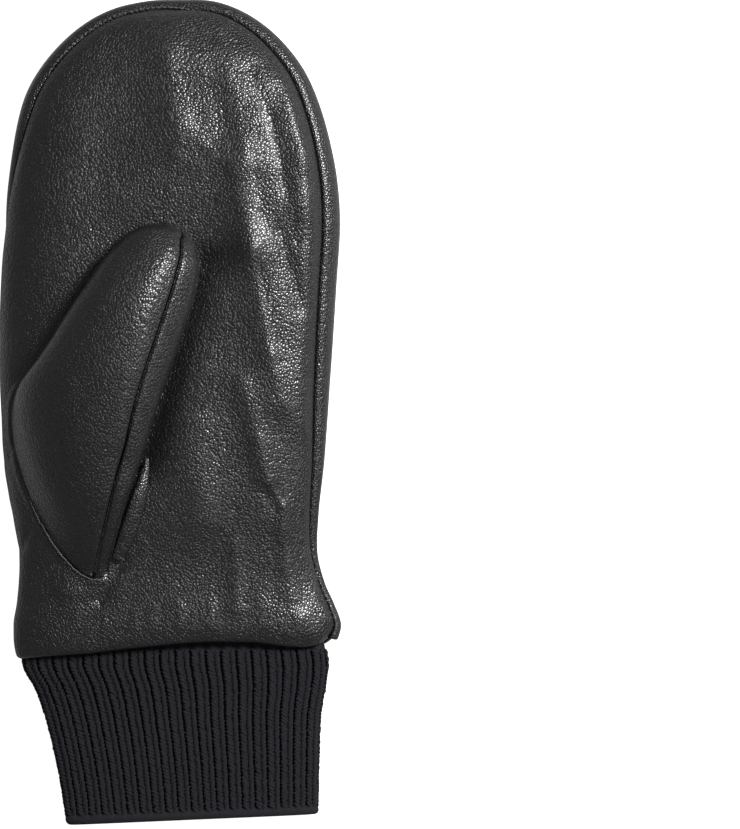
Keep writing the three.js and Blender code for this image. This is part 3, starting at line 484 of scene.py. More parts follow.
def wall_object(name, outer, inner, material, kept=None, ring=False):
    """A closed wall from two grids of points, loose points left out."""
    faces = wall_faces(outer.shape[0], outer.shape[1], kept, ring)
    points = np.concatenate([outer.reshape(-1, 3), inner.reshape(-1, 3)])
    used, index = np.unique(faces, return_inverse=True)
    return merge_poles(make_object(name, points[used], index.reshape(faces.shape), material))


def spindles(name, centres, along, up, sizes, material):
    """Many small rounded threads: each is a spindle of three rings of five points and two poles.

    A point is centre + along * length * t + (side * cos + up * sin) * ring radius, with its own
    width and height. centres, along and up are arrays of vectors; sizes are length, width, height.
    """
    along, up = unit(along), unit(up)
    side = unit(np.cross(along, up))
    up = np.cross(side, along)
    angles = np.arange(5) * 2 * np.pi / 5
    t = np.repeat([-0.3, 0.0, 0.3], 5)
    r = np.repeat([0.78, 1.0, 0.78], 5)
    t, r = np.concatenate([[-0.5], t, [0.5]]), np.concatenate([[0], r, [0]])
    turn = np.concatenate([[0], np.tile(angles, 3), [0]])
    length, width, height = (np.broadcast_to(s, len(centres))[:, None, None] for s in sizes)
    points = (
        centres[:, None]
        + along[:, None] * length * t[None, :, None]
        + side[:, None] * width / 2 * (r * np.cos(turn))[None, :, None]
        + up[:, None] * height / 2 * (r * np.sin(turn))[None, :, None]
    )
    k = np.arange(5)
    n = (k + 1) % 5
    faces = [np.stack([np.zeros(5, int), 1 + n, 1 + k], 1)]
    for ring in (1, 6):
        faces.append(np.stack([ring + k, ring + n, ring + 5 + n], 1))
        faces.append(np.stack([ring + k, ring + 5 + n, ring + 5 + k], 1))
    faces.append(np.stack([11 + k, 11 + n, np.full(5, 16)], 1))
    one = np.concatenate(faces)
    every = (one[None] + 17 * np.arange(len(centres))[:, None, None]).reshape(-1, 3)
    return make_object(name, points, every, material)


# Materials


def add(tree, kind, **inputs):
    """A node with the given input values; links are given as sockets."""
    node = tree.nodes.new(kind)
    for key, value in inputs.items():
        if isinstance(value, bpy.types.NodeSocket):
            tree.links.new(value, node.inputs[key])
        else:
            node.inputs[key].default_value = value
    return node


def math_node(tree, operation, a, b=None, c=None, clamp=False):
    """Result of a math node whose values are numbers or sockets."""
    node = tree.nodes.new("ShaderNodeMath")
    node.operation = operation
    node.use_clamp = clamp
    for k, value in enumerate((a, b, c)):
        if isinstance(value, bpy.types.NodeSocket):
            tree.links.new(value, node.inputs[k])
        elif value is not None:
            node.inputs[k].default_value = value
    return node.outputs[0]


def rising(tree, value, low, high):
    """0 below low, 1 above high, and smooth between."""
    node = tree.nodes.new("ShaderNodeMapRange")
    node.interpolation_type = "SMOOTHSTEP"
    tree.links.new(value, node.inputs["Value"])
    node.inputs["From Min"].default_value = low
    node.inputs["From Max"].default_value = high
    return node.outputs[0]


def mix_colors(tree, factor, first, second, blend="MIX"):
    """A mix of two colours by a mask; the first may be a socket."""
    node = tree.nodes.new("ShaderNodeMix")
    node.data_type = "RGBA"
    node.blend_type = blend
    tree.links.new(factor, node.inputs[0])
    if isinstance(first, bpy.types.NodeSocket):
        tree.links.new(first, node.inputs[6])
    else:
        node.inputs[6].default_value = (*first, 1)
    node.inputs[7].default_value = (*second, 1)
    return node.outputs[2]


def group(name, inputs, outputs):
    """An empty shader node group with named inputs and outputs."""
    tree = bpy.data.node_groups.new(name, "ShaderNodeTree")
    for label, kind in inputs:
        tree.interface.new_socket(label, in_out="INPUT", socket_type=kind)
    for label, kind in outputs:
        tree.interface.new_socket(label, in_out="OUTPUT", socket_type=kind)
    return tree, tree.nodes.new("NodeGroupInput").outputs, tree.nodes.new("NodeGroupOutput").inputs


# Grain: relief in millimetres, and cells in each millimetre
DOME_DROP = 0.185
GROOVE_DEPTH = 0.035
FINE_DROP = 0.012
PEBBLES = 1.08
FINE_PEBBLES = 2.5


def grain_group():
    """Leather grain: pebbles from a warped cell pattern, finer pebbles over them, and soft mottling."""
    tree, given, out = group(
        "leather_grain",
        [("Vector", "NodeSocketVector")],
        [("Height", "NodeSocketFloat"), ("Creases", "NodeSocketFloat"), ("Mottle", "NodeSocketFloat")],
    )
    scaled = tree.nodes.new("ShaderNodeVectorMath")
    scaled.operation = "SCALE"
    tree.links.new(given["Vector"], scaled.inputs[0])
    scaled.inputs["Scale"].default_value = 1 / MM
    place = scaled.outputs[0]
    warp = add(tree, "ShaderNodeTexNoise", Vector=place, Scale=0.32, Detail=3.0)
    bent = tree.nodes.new("ShaderNodeVectorMath")
    bent.operation = "MULTIPLY_ADD"
    tree.links.new(warp.outputs["Color"], bent.inputs[0])
    bent.inputs[1].default_value = (1.1, 1.1, 1.1)
    tree.links.new(place, bent.inputs[2])
    cells = add(tree, "ShaderNodeTexVoronoi", Vector=bent.outputs[0], Scale=PEBBLES)
    cells.feature = "DISTANCE_TO_EDGE"
    fine = add(tree, "ShaderNodeTexVoronoi", Vector=bent.outputs[0], Scale=FINE_PEBBLES)
    fine.feature = "SMOOTH_F1"
    fine.inputs["Smoothness"].default_value = 0.6
    domes = add(tree, "ShaderNodeTexVoronoi", Vector=bent.outputs[0], Scale=PEBBLES)
    domes.feature = "F1"
    dome = math_node(tree, "POWER", domes.outputs["Distance"], 2.0)
    height = math_node(tree, "MULTIPLY", dome, -DOME_DROP)
    raised = rising(tree, cells.outputs["Distance"], 0.0, 0.13)
    height = math_node(tree, "MULTIPLY_ADD", raised, GROOVE_DEPTH, height)
    height = math_node(tree, "MULTIPLY_ADD", fine.outputs["Distance"], -FINE_DROP, height)
    tree.links.new(height, out["Height"])
    pebble = rising(tree, cells.outputs["Distance"], 0.0, 0.22)
    tree.links.new(math_node(tree, "SUBTRACT", 1.0, pebble), out["Creases"])
    blotches = add(tree, "ShaderNodeTexNoise", Vector=place, Scale=0.075, Detail=4.0, Roughness=0.62)
    tree.links.new(blotches.outputs["Fac"], out["Mottle"])
    return tree


def new_material(name):
    """A material with its node tree and its shader."""
    material = bpy.data.materials.new(name)
    material.use_nodes = True
    tree = material.node_tree
    return material, tree, tree.nodes["Principled BSDF"]


def leather(name):
    """Dyed black grain leather: pebbled, with painted shade darkening its creases, duller there, soft
    sheen.
    """
    material, tree, shader = new_material(name)
    grain = tree.nodes.new("ShaderNodeGroup")
    grain.node_tree = GRAIN
    place = tree.nodes.new("ShaderNodeTexCoord").outputs["Object"]
    tree.links.new(place, grain.inputs["Vector"])
    mottle, creases = grain.outputs["Mottle"], grain.outputs["Creases"]
    dye = mix_colors(tree, mottle, (0.006, 0.006, 0.0069), (0.0098, 0.0098, 0.0112))
    # Painted shade: the base colour is multiplied darker in the grain's creases
    painted_crease_shade = mix_colors(tree, creases, dye, (0.35, 0.35, 0.35), "MULTIPLY")
    tree.links.new(painted_crease_shade, shader.inputs["Base Color"])
    rough = math_node(tree, "MULTIPLY_ADD", mottle, 0.08, 0.15)
    rough = math_node(tree, "MULTIPLY_ADD", creases, 0.26, rough)
    tree.links.new(rough, shader.inputs["Roughness"])
    relief = add(tree, "ShaderNodeBump", Strength=1.0, Distance=MM, Height=grain.outputs["Height"])
    tree.links.new(relief.outputs[0], shader.inputs["Normal"])
    gloss = math_node(tree, "MULTIPLY_ADD", creases, -0.15, 0.15, clamp=True)
    tree.links.new(gloss, shader.inputs["Coat Weight"])
    shader.inputs["Specular IOR Level"].default_value = 0.45
    shader.inputs["Coat Roughness"].default_value = 0.22
    return material


def yarn(name, color):
    """Matt wool yarn: fibres as fine streaks of light and dark, with a faint sheen."""
    material, tree, shader = new_material(name)
    place = tree.nodes.new("ShaderNodeTexCoord").outputs["Object"]
    streaks = add(tree, "ShaderNodeTexNoise", Vector=place, Scale=2600.0, Detail=3.0)
    dark, light = (tuple(share * c for c in color) for share in (0.2, 2.0))
    tint = mix_colors(tree, streaks.outputs["Fac"], dark, light)
    tree.links.new(tint, shader.inputs["Base Color"])
    relief = add(tree, "ShaderNodeBump", Strength=0.5, Distance=0.00012, Height=streaks.outputs["Fac"])
    tree.links.new(relief.outputs[0], shader.inputs["Normal"])
    shader.inputs["Roughness"].default_value = 0.92
    shader.inputs["Specular IOR Level"].default_value = 0.2
    shader.inputs["Sheen Weight"].default_value = 0.35
    shader.inputs["Sheen Roughness"].default_value = 0.5
    shader.inputs["Sheen Tint"].default_value = (0.05, 0.05, 0.06, 1)
    return material


GRAIN = grain_group()
LEATHER = leather("black_leather")
THREAD = yarn("black_thread", (0.065, 0.065, 0.066))
KNIT = yarn("navy_black_knit", (0.0090, 0.0088, 0.0113))


def finish_piece(obj, slot, *nodes):
    """The piece rides on the mitten and stands for its solids, which are hidden; slot is not used."""
    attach(obj, "root")
    if nodes:
        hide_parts(*nodes)


# Palm, back and strip

EDGE_STEPS = np.array([0, 0.12, 0.3, 0.55, 0.9, 1.35, 1.9])
HEM_STATIONS = [0, 0.0005, 0.0012, 0.0022, 0.0036, 0.0055]
STRIP_END = np.array([0, 0.0004, 0.001, 0.0018])


def edged(length, count):
    """Shares from 0 to 1, one row of them for each length: closer near both ends, even between."""
    length = np.atleast_1d(length)[:, None]
    near = EDGE_STEPS * np.minimum(length / 30, 1)
    middle = np.linspace(0, 1, count - 2 * len(EDGE_STEPS) + 2)[1:-1]
    inside = near[:, -1:] + middle * (length - 2 * near[:, -1:])
    row = np.concatenate([near, inside, (length - near)[:, ::-1]], 1)
    return np.where(length > 1e-6, row / np.maximum(length, 1e-6), np.linspace(0, 1, count))


def run_length(points, axis):
    """Distance along the grid from its first row or column."""
    step = np.linalg.norm(np.diff(points, axis=axis), axis=-1)
    first = np.zeros_like(np.take(step, [0], axis=axis))
    return np.concatenate([first, np.cumsum(step, axis=axis)], axis=axis)


def panel(rows, columns, flat_of, seam, turn_of, hem):
    """A panel folded round the rim.

    Straight rungs join the seam on one side to the seam on the other, from the hem to the tip. Where
    a rung nears the rim, its depth inside the rim is turned into a turn of the section's ellipse,
    which gives the point its place and height.
    """
    station = np.concatenate([HEM_STATIONS, np.linspace(0.0085, 1, rows - len(HEM_STATIONS))])
    ends = []
    for around in (station / 2, 1 - station / 2):
        point, inwards = rim_at(around)
        edge = flat_of(column(SEAMS[:, 0], SEAMS[:, seam], around)) + SEAM_GAP / 2
        ends.append(point + inwards * edge[:, None])
    share = edged(np.linalg.norm(ends[1] - ends[0], axis=1), columns)
    plan = ends[0][:, None] * (1 - share[..., None]) + ends[1][:, None] * share[..., None]
    bow = LEATHER_LENGTH * column(hem[:, 0], hem[:, 1], share)
    plan[..., 1] += bow * (1 - station[:, None]) ** 4
    depth, inwards, around = rim_near(plan)
    turn = turn_of(depth)
    shift = np.where((turn == 0) | (turn == 2), 0, depth_at_turn(turn) - depth)
    height = height_at_turn(turn, plan[..., 1])
    point = np.concatenate([plan + inwards * shift[..., None], height[..., None]], -1)
    from_seam = depth - flat_of(column(SEAMS[:, 0], SEAMS[:, seam], around))
    return point, normal_at_turn(turn, inwards, plan[..., 1]), depth, from_seam, share


def hem_thickness(from_hem):
    """The wall is doubled where the hem is turned in."""
    return WALL + 0.5 * (1 - smoothstep(from_hem, 9, 15))


def leather_wall(base, normal, from_seam, from_hem):
    """Outer and inner face: the outer one rounded at the seams and the hem, the hem doubled inwards."""
    edge = np.minimum(roll(from_seam, SEAM_EDGE), roll(from_hem, HEM_EDGE))
    depth = -roll(from_hem, HEM_INNER_EDGE) - hem_thickness(from_hem)
    return base + normal * edge[..., None], base + normal * depth[..., None]


def inside_polygon(plan, ring):
    """True for plan points inside a closed ring, by counting crossings."""
    x, y = plan[..., 0], plan[..., 1]
    inside = np.zeros(x.shape, bool)
    for a, b in zip(ring, np.roll(ring, -1, axis=0)):
        crosses = (a[1] > y) != (b[1] > y)
        with np.errstate(divide="ignore", invalid="ignore"):
            at = a[0] + (y - a[1]) * (b[0] - a[0]) / (b[1] - a[1])
        inside ^= crosses & (x < at)
    return inside


def short_folds(rows, x, y):
    """Sum of small ridges with sharp crests: height * exp(-1.6 (sqrt(u^2 + 0.2) - 0.45)), where
    u is the distance from the ridge's line / reach. Rows in millimetres as in PALM_CREASES."""
    total = np.zeros_like(x)
    for x1, y1, x2, y2, reach, height in rows:
        away = segment_distance(x, y, x1, y1, x2, y2) / reach
        total += height * np.exp(-1.6 * (np.sqrt(away**2 + 0.2) - 0.45))
    return total


def line_distance(x, y, line):
    """Distance of plan points from a line through the given plan points."""
    nearest = np.full(x.shape, np.inf)
    for start, end in zip(line[:-1], line[1:]):
        nearest = np.minimum(nearest, segment_distance(x, y, *start, *end))
    return nearest


def palm_relief(x, y):
    """Low relief of the palm beside its folds: puckers over the hem, sharp creases and slack waves."""
    relief = short_folds(PALM_CREASES, x, y)
    relief += 0.22 * noise(x, y, 21, 11) + 0.16 * noise(x, y, 9.5, 12) + 0.05 * noise(x, y, 4.2, 13)
    return relief * smoothstep(y, 1.5, 8)


def make_palm():
    """Palm: the section's surface + crown + folds + relief + a ridge round the thumb's base - the dip
    at its seam, all along the normal. The cells inside the thumb's neck are left out."""
    point, normal, depth, from_seam, _ = panel(292, 134, flat_of_palm, PALM_SEAM, turn_of_palm, PALM_HEM)
    x, y = point[..., 0], point[..., 1]
    inside = inside_seam(from_seam)
    from_hem = run_length(point, 0)
    height = crown_at(depth) + folds_at(PALM_FOLDS, x, y) * inside + dip_at(from_seam)
    height += palm_relief(x, y) * inside
    base_seam = thumb_point(np.zeros(60), np.linspace(0.1, 1.35 * np.pi, 60), 1.1)[..., :2]
    height += BASE_SEAM_RISE * np.exp(-((line_distance(x, y, base_seam) / BASE_SEAM_REACH) ** 2))
    height -= 1.4 * np.clip(1 - from_hem / 7, 0, 1) ** 2
    base = lift_by_elastic(point + normal * height[..., None], np.zeros_like(x))
    outer, inner = leather_wall(base, normal, from_seam - SEAM_GAP / 2, from_hem)
    neck = thumb_point(np.zeros(120), np.linspace(0, 2 * np.pi, 121)[:-1], -0.9)[..., :2]
    middle = (outer[:-1, :-1] + outer[1:, 1:])[..., :2] / 2
    return wall_object("palm_leather", outer, inner, LEATHER, ~inside_polygon(middle, neck))


def back_relief(x, y, share):
    """Low relief of the back: slack waves, and the zigzag line of the elastic pressed in."""
    relief = 0.3 * noise(x, y, 23, 21) + 0.12 * noise(x, y, 9, 22)
    line = ELASTIC_HEIGHT + ZIGZAG * np.cos(share * GATHERS * 2 * np.pi)
    return relief - ELASTIC_PRESS * np.exp(-(((y - line) / 0.9) ** 2))


def make_back():
    """Back: the section's surface + folds + relief - the dip at its seam, no lower than the floor. Then
    the elastic lifts it, with a gather for each wave of (1 - cos) / 2 across."""
    point, normal, _, from_seam, share = panel(280, 128, flat_of_back, BACK_SEAM, turn_of_back, BACK_HEM)
    x, y = point[..., 0], point[..., 1]
    inside = inside_seam(from_seam)
    from_hem = run_length(point, 0)
    height = folds_at(BACK_FOLDS, x, y) * inside + dip_at(from_seam)
    base = point + normal * (height + back_relief(x, y, share) * inside)[..., None]
    base[..., 2] = np.maximum(base[..., 2], 0)
    wave = 0.5 - 0.5 * np.cos(share * GATHERS * 2 * np.pi)
    base = lift_by_elastic(base, wave**0.8 * inside)
    outer, inner = leather_wall(base, normal, from_seam - SEAM_GAP / 2, from_hem)
    return wall_object("back_leather", outer, inner, LEATHER)


def make_strip():
    """Strip: the section between the turns of its two seams, walked round the rim, + a low welt beside
    the palm's seam - the dips at both seams, along the normal."""
    around = np.concatenate([STRIP_END, np.linspace(0.003, 0.997, 520), 1 - STRIP_END[::-1]])
    rim, inwards = rim_at(around)
    palm_turn = column(SEAMS[:, 0], SEAMS[:, PALM_SEAM], around)
    back_turn = column(SEAMS[:, 0], SEAMS[:, BACK_SEAM], around)
    first = turn_of_palm(flat_of_palm(palm_turn) - SEAM_GAP / 2)
    last = turn_of_back(flat_of_back(back_turn) - SEAM_GAP / 2)
    width = np.maximum(last - first, 0.05) * 20
    share = edged(width, 24)
    turn = first[:, None] * (1 - share) + last[:, None] * share
    inwards = np.repeat(inwards[:, None], share.shape[1], 1)
    plan = rim[:, None] + inwards * depth_at_turn(turn)[..., None]
    point = np.concatenate([plan, height_at_turn(turn, plan[..., 1])[..., None]], -1)
    normal = normal_at_turn(turn, inwards, plan[..., 1])
    across = run_length(point, 1)
    side = np.minimum(across, across[:, -1:] - across)
    along = run_length(point, 0)
    end = np.minimum(along, along[-1:] - along)
    height = dip_at(side) + 0.25 * np.exp(-(((across - 2.6) / 1.4) ** 2))
    height += 0.12 * noise(along, across, 14, 31) * smoothstep(side, 0, 3)
    base = lift_by_elastic(point + normal * height[..., None], np.zeros_like(height))
    outer, inner = leather_wall(base, normal, side, end)
    return wall_object("strip_leather", outer, inner, LEATHER)


# Thumb

UPPER_SEAM, LOWER_SEAM = 1, 2
THUMB_AXIS = np.array([np.sin(THUMB_ANGLE), np.cos(THUMB_ANGLE)])
THUMB_ACROSS = np.array([np.cos(THUMB_ANGLE), -np.sin(THUMB_ANGLE)])
BULGE_WAY = np.array([np.cos(ROOT_LEAN), np.sin(ROOT_LEAN)])


def thumb_plan(along, across):
    return (
        THUMB_ROOT
        + THUMB_AXIS * (along * THUMB_LENGTH)[..., None]
        + THUMB_ACROSS * (across * THUMB_WIDTH)[..., None]
    )


def thumb_point(station, turn, swell):
    """The thumb's section: station from root to tip, turn round it from the right edge over the top.

    A plan point is the middle + half width * cos(turn), leaning out at the root with sin(turn).
    Its height over the palm is the side's + (rise or drop) * sin(turn). Swell moves it outwards.
    """
    values = [even_column(THUMB[:, k], station) for k in range(8)]
    left, right = thumb_plan(values[0], values[1]), thumb_plan(values[2], values[3])
    half = (right - left) / 2
    cosine, sine = np.cos(turn), np.sin(turn)
    plan = (left + right) / 2 + (half + unit(half) * swell) * cosine[..., None]
    bulge = ROOT_BULGE * values[7]
    plan = plan + BULGE_WAY * np.where(bulge > 0, sine * np.maximum(bulge + swell, 0), 0)[..., None]
    plan = plan + THUMB_AXIS * (swell * smoothstep(station, TIP_FROM, 1))[..., None]
    under, side, rise = (THUMB_RISE * np.maximum(values[k], 0) for k in (4, 5, 6))
    inset = np.minimum(-swell, (rise - under) * INSET_SHARE)
    height = side + np.where(sine > 0, rise - inset - side, side - inset - under) * sine
    return np.concatenate([plan, (palm_surface(plan) + LAY_GAP + height)[..., None]], -1)


def grid_normals(points):
    """Normals of a grid from the differences along its two directions; poles take their row's mean."""
    along = np.gradient(points, axis=0)
    across = np.gradient(points, axis=1)
    normal = np.cross(along, across)
    length = np.linalg.norm(normal, axis=-1)
    flat = length < 1e-6
    normal[flat] = 0
    mean = unit(normal[-3].mean(0))
    normal = unit(normal)
    normal[flat] = mean
    return normal


def thumb_seam(seam, station, side):
    turn = np.radians(column(THUMB_SEAMS[:, 0], THUMB_SEAMS[:, seam], station))
    return turn + side * SEAM_GAP / (THUMB_WIDTH / 2 * np.sqrt(np.maximum(1 - station, 0.05)))


def thumb_relief(station, turn, point):
    """Low relief of the thumb: slack waves, and short wrinkles that run into its upper seam."""
    x, y = point[..., 0], point[..., 1]
    relief = 0.3 * noise(x, y, 17, 41) + 0.1 * noise(x, y, 7, 42)
    from_seam = (turn - thumb_seam(UPPER_SEAM, station, 1)) * THUMB_WIDTH / 2
    place = point @ np.append(THUMB_AXIS, 0)
    wave = np.sin(place * 2 * np.pi / 2.9 + 2.2 * noise(x, y, 6, 43))
    near = np.exp(-(((from_seam - 4) / 4.5) ** 2)) * smoothstep(station, 0.12, 0.3)
    return relief + 0.11 * wave * near * (1 - smoothstep(station, 0.7, 0.85))


def thumb_piece(rows, columns, end, first, last):
    """Outer and inner face of a thumb piece between two seams, from its neck in the palm's hole to its
    end station: the thumb's section + relief - the dip and rounding at its seams, along the normal."""
    station = np.concatenate([[0], np.linspace(0, 1, rows)]) * end
    share = edged(np.full(rows + 1, 40.0 if columns > 60 else 14.0), columns)
    grid_station = np.repeat(station[:, None], columns, 1)
    turn = first(station)[:, None] * (1 - share) + last(station)[:, None] * share
    outer = thumb_point(grid_station, turn, 0)
    inner = thumb_point(grid_station, turn, -WALL)
    for face in (outer, inner):
        face[0, :, 2] -= LAY_GAP + WALL
    normal = grid_normals(outer)
    across = run_length(outer, 1)
    side = np.minimum(across, across[:, -1:] - across)
    fade = 1 - smoothstep(grid_station, TIP_FROM + 0.1, 1)
    calm = smoothstep(side, 0, 4) * smoothstep(grid_station, 0.02, 0.15) * fade
    height = dip_at(side) * 0.5 * fade + roll(side, THUMB_EDGE) * fade
    height += thumb_relief(grid_station, turn, outer) * calm
    height[:2] = 0
    outwards = np.sign((normal * (outer - inner)).sum())
    return outer + outwards * normal * height[..., None], inner


def make_thumb():
    """The large thumb piece: from the upper seam over the left side and under to the lower seam."""
    outer, inner = thumb_piece(
        190,
        176,
        1.0,
        lambda s: thumb_seam(UPPER_SEAM, s, 1),
        lambda s: thumb_seam(LOWER_SEAM, s, -1) + 2 * np.pi,
    )
    return wall_object("thumb_leather", outer, inner, LEATHER)


def make_thumb_strip():
    """The narrow thumb piece: from the lower seam to the upper one, on the right side."""
    outer, inner = thumb_piece(
        180, 30, 0.97, lambda s: thumb_seam(LOWER_SEAM, s, 1), lambda s: thumb_seam(UPPER_SEAM, s, -1)
    )
    return wall_object("thumb_strip_leather", outer, inner, LEATHER)


def make_gusset():
    """The folded leather in the crotch: rungs from beside the thumb to its own edge, arched over."""
    s = np.linspace(0, 1, 60)
    t = edged(np.full(60, 12.0), 26)
    along = even_column(GUSSET[:, 0], s)
    edge = thumb_plan(along, even_column(GUSSET[:, 1], s))
    beside = thumb_plan(along, column(THUMB[:5, 2], THUMB[:5, 3], along)) + THUMB_ACROSS * LAY_GAP
    plan = beside[:, None] * (1 - t[..., None]) + edge[:, None] * t[..., None]
    low = palm_surface(plan) + SEAM_GAP
    fold = GUSSET_BULGE * even_column(GUSSET[:, 2], s)[:, None]
    rise = fold * np.sin(np.pi * (1 - t) * GUSSET_WAVE)
    side = np.minimum(t, 1 - t) * GUSSET_SIDE
    high = low + GUSSET_WALL + rise + roll(side, 0.8)
    outer = np.concatenate([plan, high[..., None]], -1)
    inner = np.concatenate([plan, low[..., None]], -1)
    return wall_object("gusset_leather", outer, inner, LEATHER)


# Cuff


def cuff_ring(down, around, inset, relief):
    """Points of the cuff: a flattened oval walked evenly, moved outwards by relief.

    x = half width * cos, z = half height * sign(sin) * |sin|^flatness; around is the share of the
    oval's length from the right edge. The lower end slants with x.
    """
    left, right = (HALF_WIDTH * column(CUFF[:, 0], CUFF[:, k], down) for k in (1, 2))
    low, high = (CUFF_THICKNESS * column(CUFF[:, 0], CUFF[:, k], down) for k in (3, 4))
    left, right, low, high = left + inset, right - inset, low + inset, high - inset
    turn = np.linspace(0, 2 * np.pi, 721)
    x = (left + right)[:, None] / 2 + (right - left)[:, None] / 2 * np.cos(turn)
    sine = np.sin(turn)
    bow = np.sign(sine) * np.abs(sine) ** CUFF_FLATNESS
    z = (low + high)[:, None] / 2 + (high - low)[:, None] / 2 * bow
    oval = np.stack([x, z], -1)
    length = run_length(oval, 1)
    points = np.zeros((len(down), around.shape[-1], 3))
    for j in range(len(down)):
        where = np.broadcast_to(around, points.shape[:2])[j] * length[j, -1]
        points[j, :, 0] = np.interp(where, length[j], x[j])
        points[j, :, 2] = np.interp(where, length[j], z[j])
    ahead = np.roll(points, -1, 1) - np.roll(points, 1, 1)
    outwards = unit(np.stack([ahead[..., 2], np.zeros(points.shape[:2]), -ahead[..., 0]], -1))
    lean = (right[:, None] - points[..., 0]) / (right - left)[:, None] - 0.5
    points[..., 1] = -(down[:, None] * CUFF_LENGTH) - CUFF_SLANT * lean * np.maximum(down[:, None], 0)
    return points + outwards * relief[..., None], outwards


def make_cuff():
    """Ribbed tube with a rounded end, and on each rib a column of V stitches.

    The tube's relief is - depth * |sin(pi * ribs * around)|^3 and ends in a smooth rolled edge. Each
    stitch is a pair of spindles that lean apart, one on each side of the rib.
    """
    rolled = [0.978, 0.985, 0.991, 0.996, 0.999, 1.0]
    down = np.concatenate([np.linspace(-CUFF_TUCK / CUFF_LENGTH, 0.97, 108), rolled])
    around = np.arange(RIBS * 10) / (RIBS * 10)
    valley = np.abs(np.sin(np.pi * RIBS * around))
    end = (1 - down) * CUFF_LENGTH
    ribbed = smoothstep(end, 1.5, 4.5)[:, None]
    relief = -(RIB_DEPTH + 0.35) * valley[None] ** 3 * ribbed - 0.65
    relief = relief + 0.62 * (1 - ribbed) + roll(end, 1.5)[:, None]
    outer, _ = cuff_ring(down, around, 0, relief)
    inner, _ = cuff_ring(down, around, KNIT_WALL, -roll(end, 1.0)[:, None] * np.ones(len(around)))
    tube = wall_object("cuff_knit", outer, inner, KNIT, ring=True)
    finish_piece(tube, "knit", "rib_cuff")

    row_down = (np.arange(STITCH_ROWS) + 0.5) / STITCH_ROWS * (1 - ROLLED_END / CUFF_LENGTH)
    rib = np.arange(RIBS) / RIBS
    fine = 7200
    sunk = -0.5 * np.ones((STITCH_ROWS, fine))
    surface, outwards = cuff_ring(row_down, np.arange(fine) / fine, 0, sunk)
    ahead = surface[1:] - surface[:-1]
    ahead = np.concatenate([ahead, ahead[-1:]])
    centres, along, ups = [], [], []
    rng = np.random.default_rng(7)
    for side in (-1, 1):
        index = np.round((rib + side * 0.25 / RIBS) * fine).astype(int) % fine
        p, n, a = surface[:, index], outwards[:, index], unit(ahead[:, index])
        across = np.cross(n, a)
        onwards = surface[:, (index + 5) % fine] - p
        way = np.sign((across * onwards).sum(-1, keepdims=True))
        lean = unit(a - across * side * 0.9 * way)
        centres.append(p + rng.normal(0, 0.07, p.shape))
        along.append(lean + rng.normal(0, 0.1, p.shape))
        ups.append(n)
    parts = (np.concatenate([q.reshape(-1, 3) for q in part]) for part in (centres, along, ups))
    stitches = spindles("cuff_stitches", *parts, STITCH_SIZE, KNIT)
    finish_piece(stitches, "knit")


# Seam threads


def make_threads():
    """Short threads: sunk along the palm seam and raised where it is pulled open, then a line of them
    round the thumb's base and a small loop below the gusset."""
    around = np.linspace(0.004, 0.996, 250)
    rim, inwards = rim_at(around)
    turn = column(SEAMS[:, 0], SEAMS[:, PALM_SEAM], around)
    plan = rim + inwards * depth_at_turn(turn)[:, None]
    point = np.concatenate([plan, height_at_turn(turn, plan[:, 1])[:, None]], 1)
    normal = normal_at_turn(turn, inwards, plan[:, 1])
    open_tip = smoothstep(around, 0.39, 0.405) * (1 - smoothstep(around, 0.5, 0.53))
    open_hem = smoothstep(around, 0.945, 0.96)
    lift = -2.3 + 1.9 * np.maximum(open_tip, open_hem)
    centres = lift_by_elastic(point + normal * lift[:, None], np.zeros(len(point)))
    along = np.gradient(centres, axis=0)
    base = thumb_point(np.zeros(46), np.linspace(0.04, 0.52, 46) * np.pi, 0.5)
    loop = np.linspace(LOOP_FROM, LOOP_TO, 9)
    loop = np.concatenate([loop, palm_surface(loop)[:, None] + 1.3], 1)
    rng = np.random.default_rng(17)
    for line in (base, loop):
        centres = np.concatenate([centres, line + rng.normal(0, 0.1, line.shape)])
        along = np.concatenate([along, np.gradient(line, axis=0) + rng.normal(0, 0.08, line.shape)])
        normal = np.concatenate([normal, np.tile((0.0, 0.0, 1.0), (len(line), 1))])
    threads = spindles("seam_threads", centres, along, normal, THREAD_SIZE, THREAD)
    finish_piece(threads, "leather")


finish_piece(make_palm(), "leather", "palm_panel")
finish_piece(make_back(), "leather", "back_panel")
finish_piece(make_strip(), "leather", "side_strip")
finish_piece(make_thumb(), "leather", "thumb_panel")
finish_piece(make_thumb_strip(), "leather", "thumb_strip")
finish_piece(make_gusset(), "leather", "thumb_gusset")
make_cuff()
make_threads()


# Studio


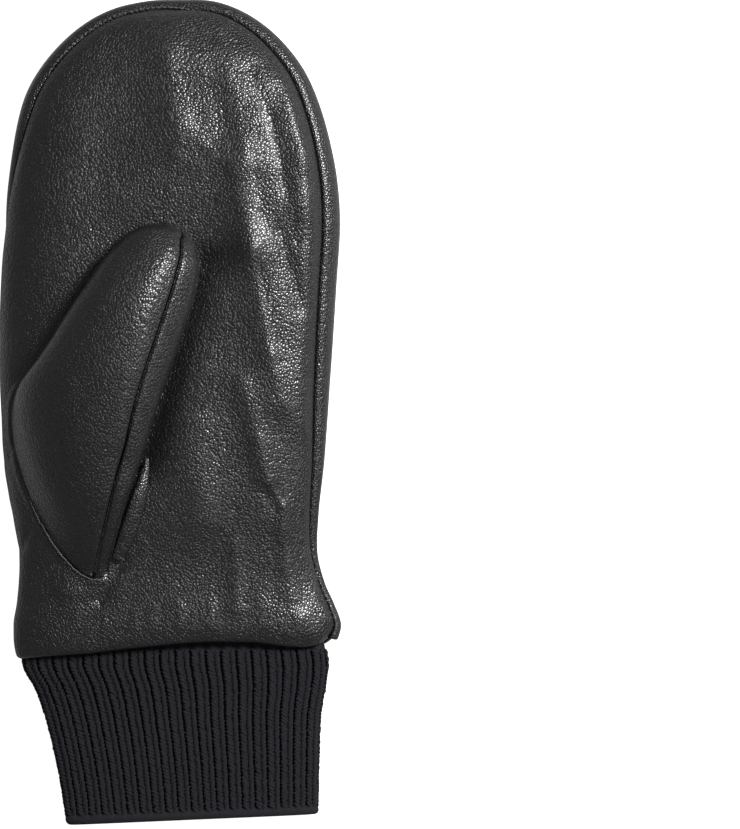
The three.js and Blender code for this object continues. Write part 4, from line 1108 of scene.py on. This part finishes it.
def area_light(name, place, size, power):
    """A white rectangular light aimed at the origin."""
    data = bpy.data.lights.new(name, "AREA")
    data.shape = "RECTANGLE"
    data.size, data.size_y = size
    data.energy = power
    light = bpy.data.objects.new(name, data)
    bpy.context.scene.collection.objects.link(light)
    light.location = place
    light.rotation_euler = (-Vector(place)).to_track_quat("-Z", "Y").to_euler()


def studio():
    """Pale floor, a key light at the upper right, two weak ones on the right, and a dim surround."""
    mesh = bpy.data.meshes.new("studio_floor")
    reach = 3.0
    corners = [(-reach, -reach, 0), (reach, -reach, 0), (reach, reach, 0), (-reach, reach, 0)]
    mesh.from_pydata(corners, [], [(0, 1, 2, 3)])
    floor = bpy.data.objects.new("studio_floor", mesh)
    bpy.context.scene.collection.objects.link(floor)
    material, tree, shader = new_material("pale_floor")
    shader.inputs["Base Color"].default_value = (0.5, 0.5, 0.5, 1)
    shader.inputs["Roughness"].default_value = 0.9
    shader.inputs["Emission Color"].default_value = (1, 1, 1, 1)
    seen = tree.nodes.new("ShaderNodeLightPath").outputs["Is Camera Ray"]
    tree.links.new(seen, shader.inputs["Emission Strength"])
    mesh.materials.append(material)
    world = bpy.data.worlds.new("studio_surround")
    world.use_nodes = True
    world.node_tree.nodes["Background"].inputs["Color"].default_value = (1, 1, 1, 1)
    world.node_tree.nodes["Background"].inputs["Strength"].default_value = 0.25
    bpy.context.scene.world = world
    area_light("key_right", (0.72, 0.46, 1.05), (0.32, 0.55), 30)
    area_light("edge_right", (1.4, 0.3, 0.35), (0.2, 1.2), 1.5)
    area_light("side_right", (0.95, -0.3, 1.2), (0.35, 0.6), 1.2)


def camera():
    """Straight down over the middle of the picture, with a long lens."""
    data = bpy.data.cameras.new("view")
    data.sensor_width = 36
    data.lens = 500
    data.clip_end = 20
    picture_height = 281.25 * MM
    cam = bpy.data.objects.new("view", data)
    bpy.context.scene.collection.objects.link(cam)
    cam.location = (0.0677, -0.0008, 0.012 + picture_height * data.lens / data.sensor_width)
    bpy.context.scene.camera = cam


studio()
camera()
bpy.context.scene.view_settings.view_transform = "Standard"
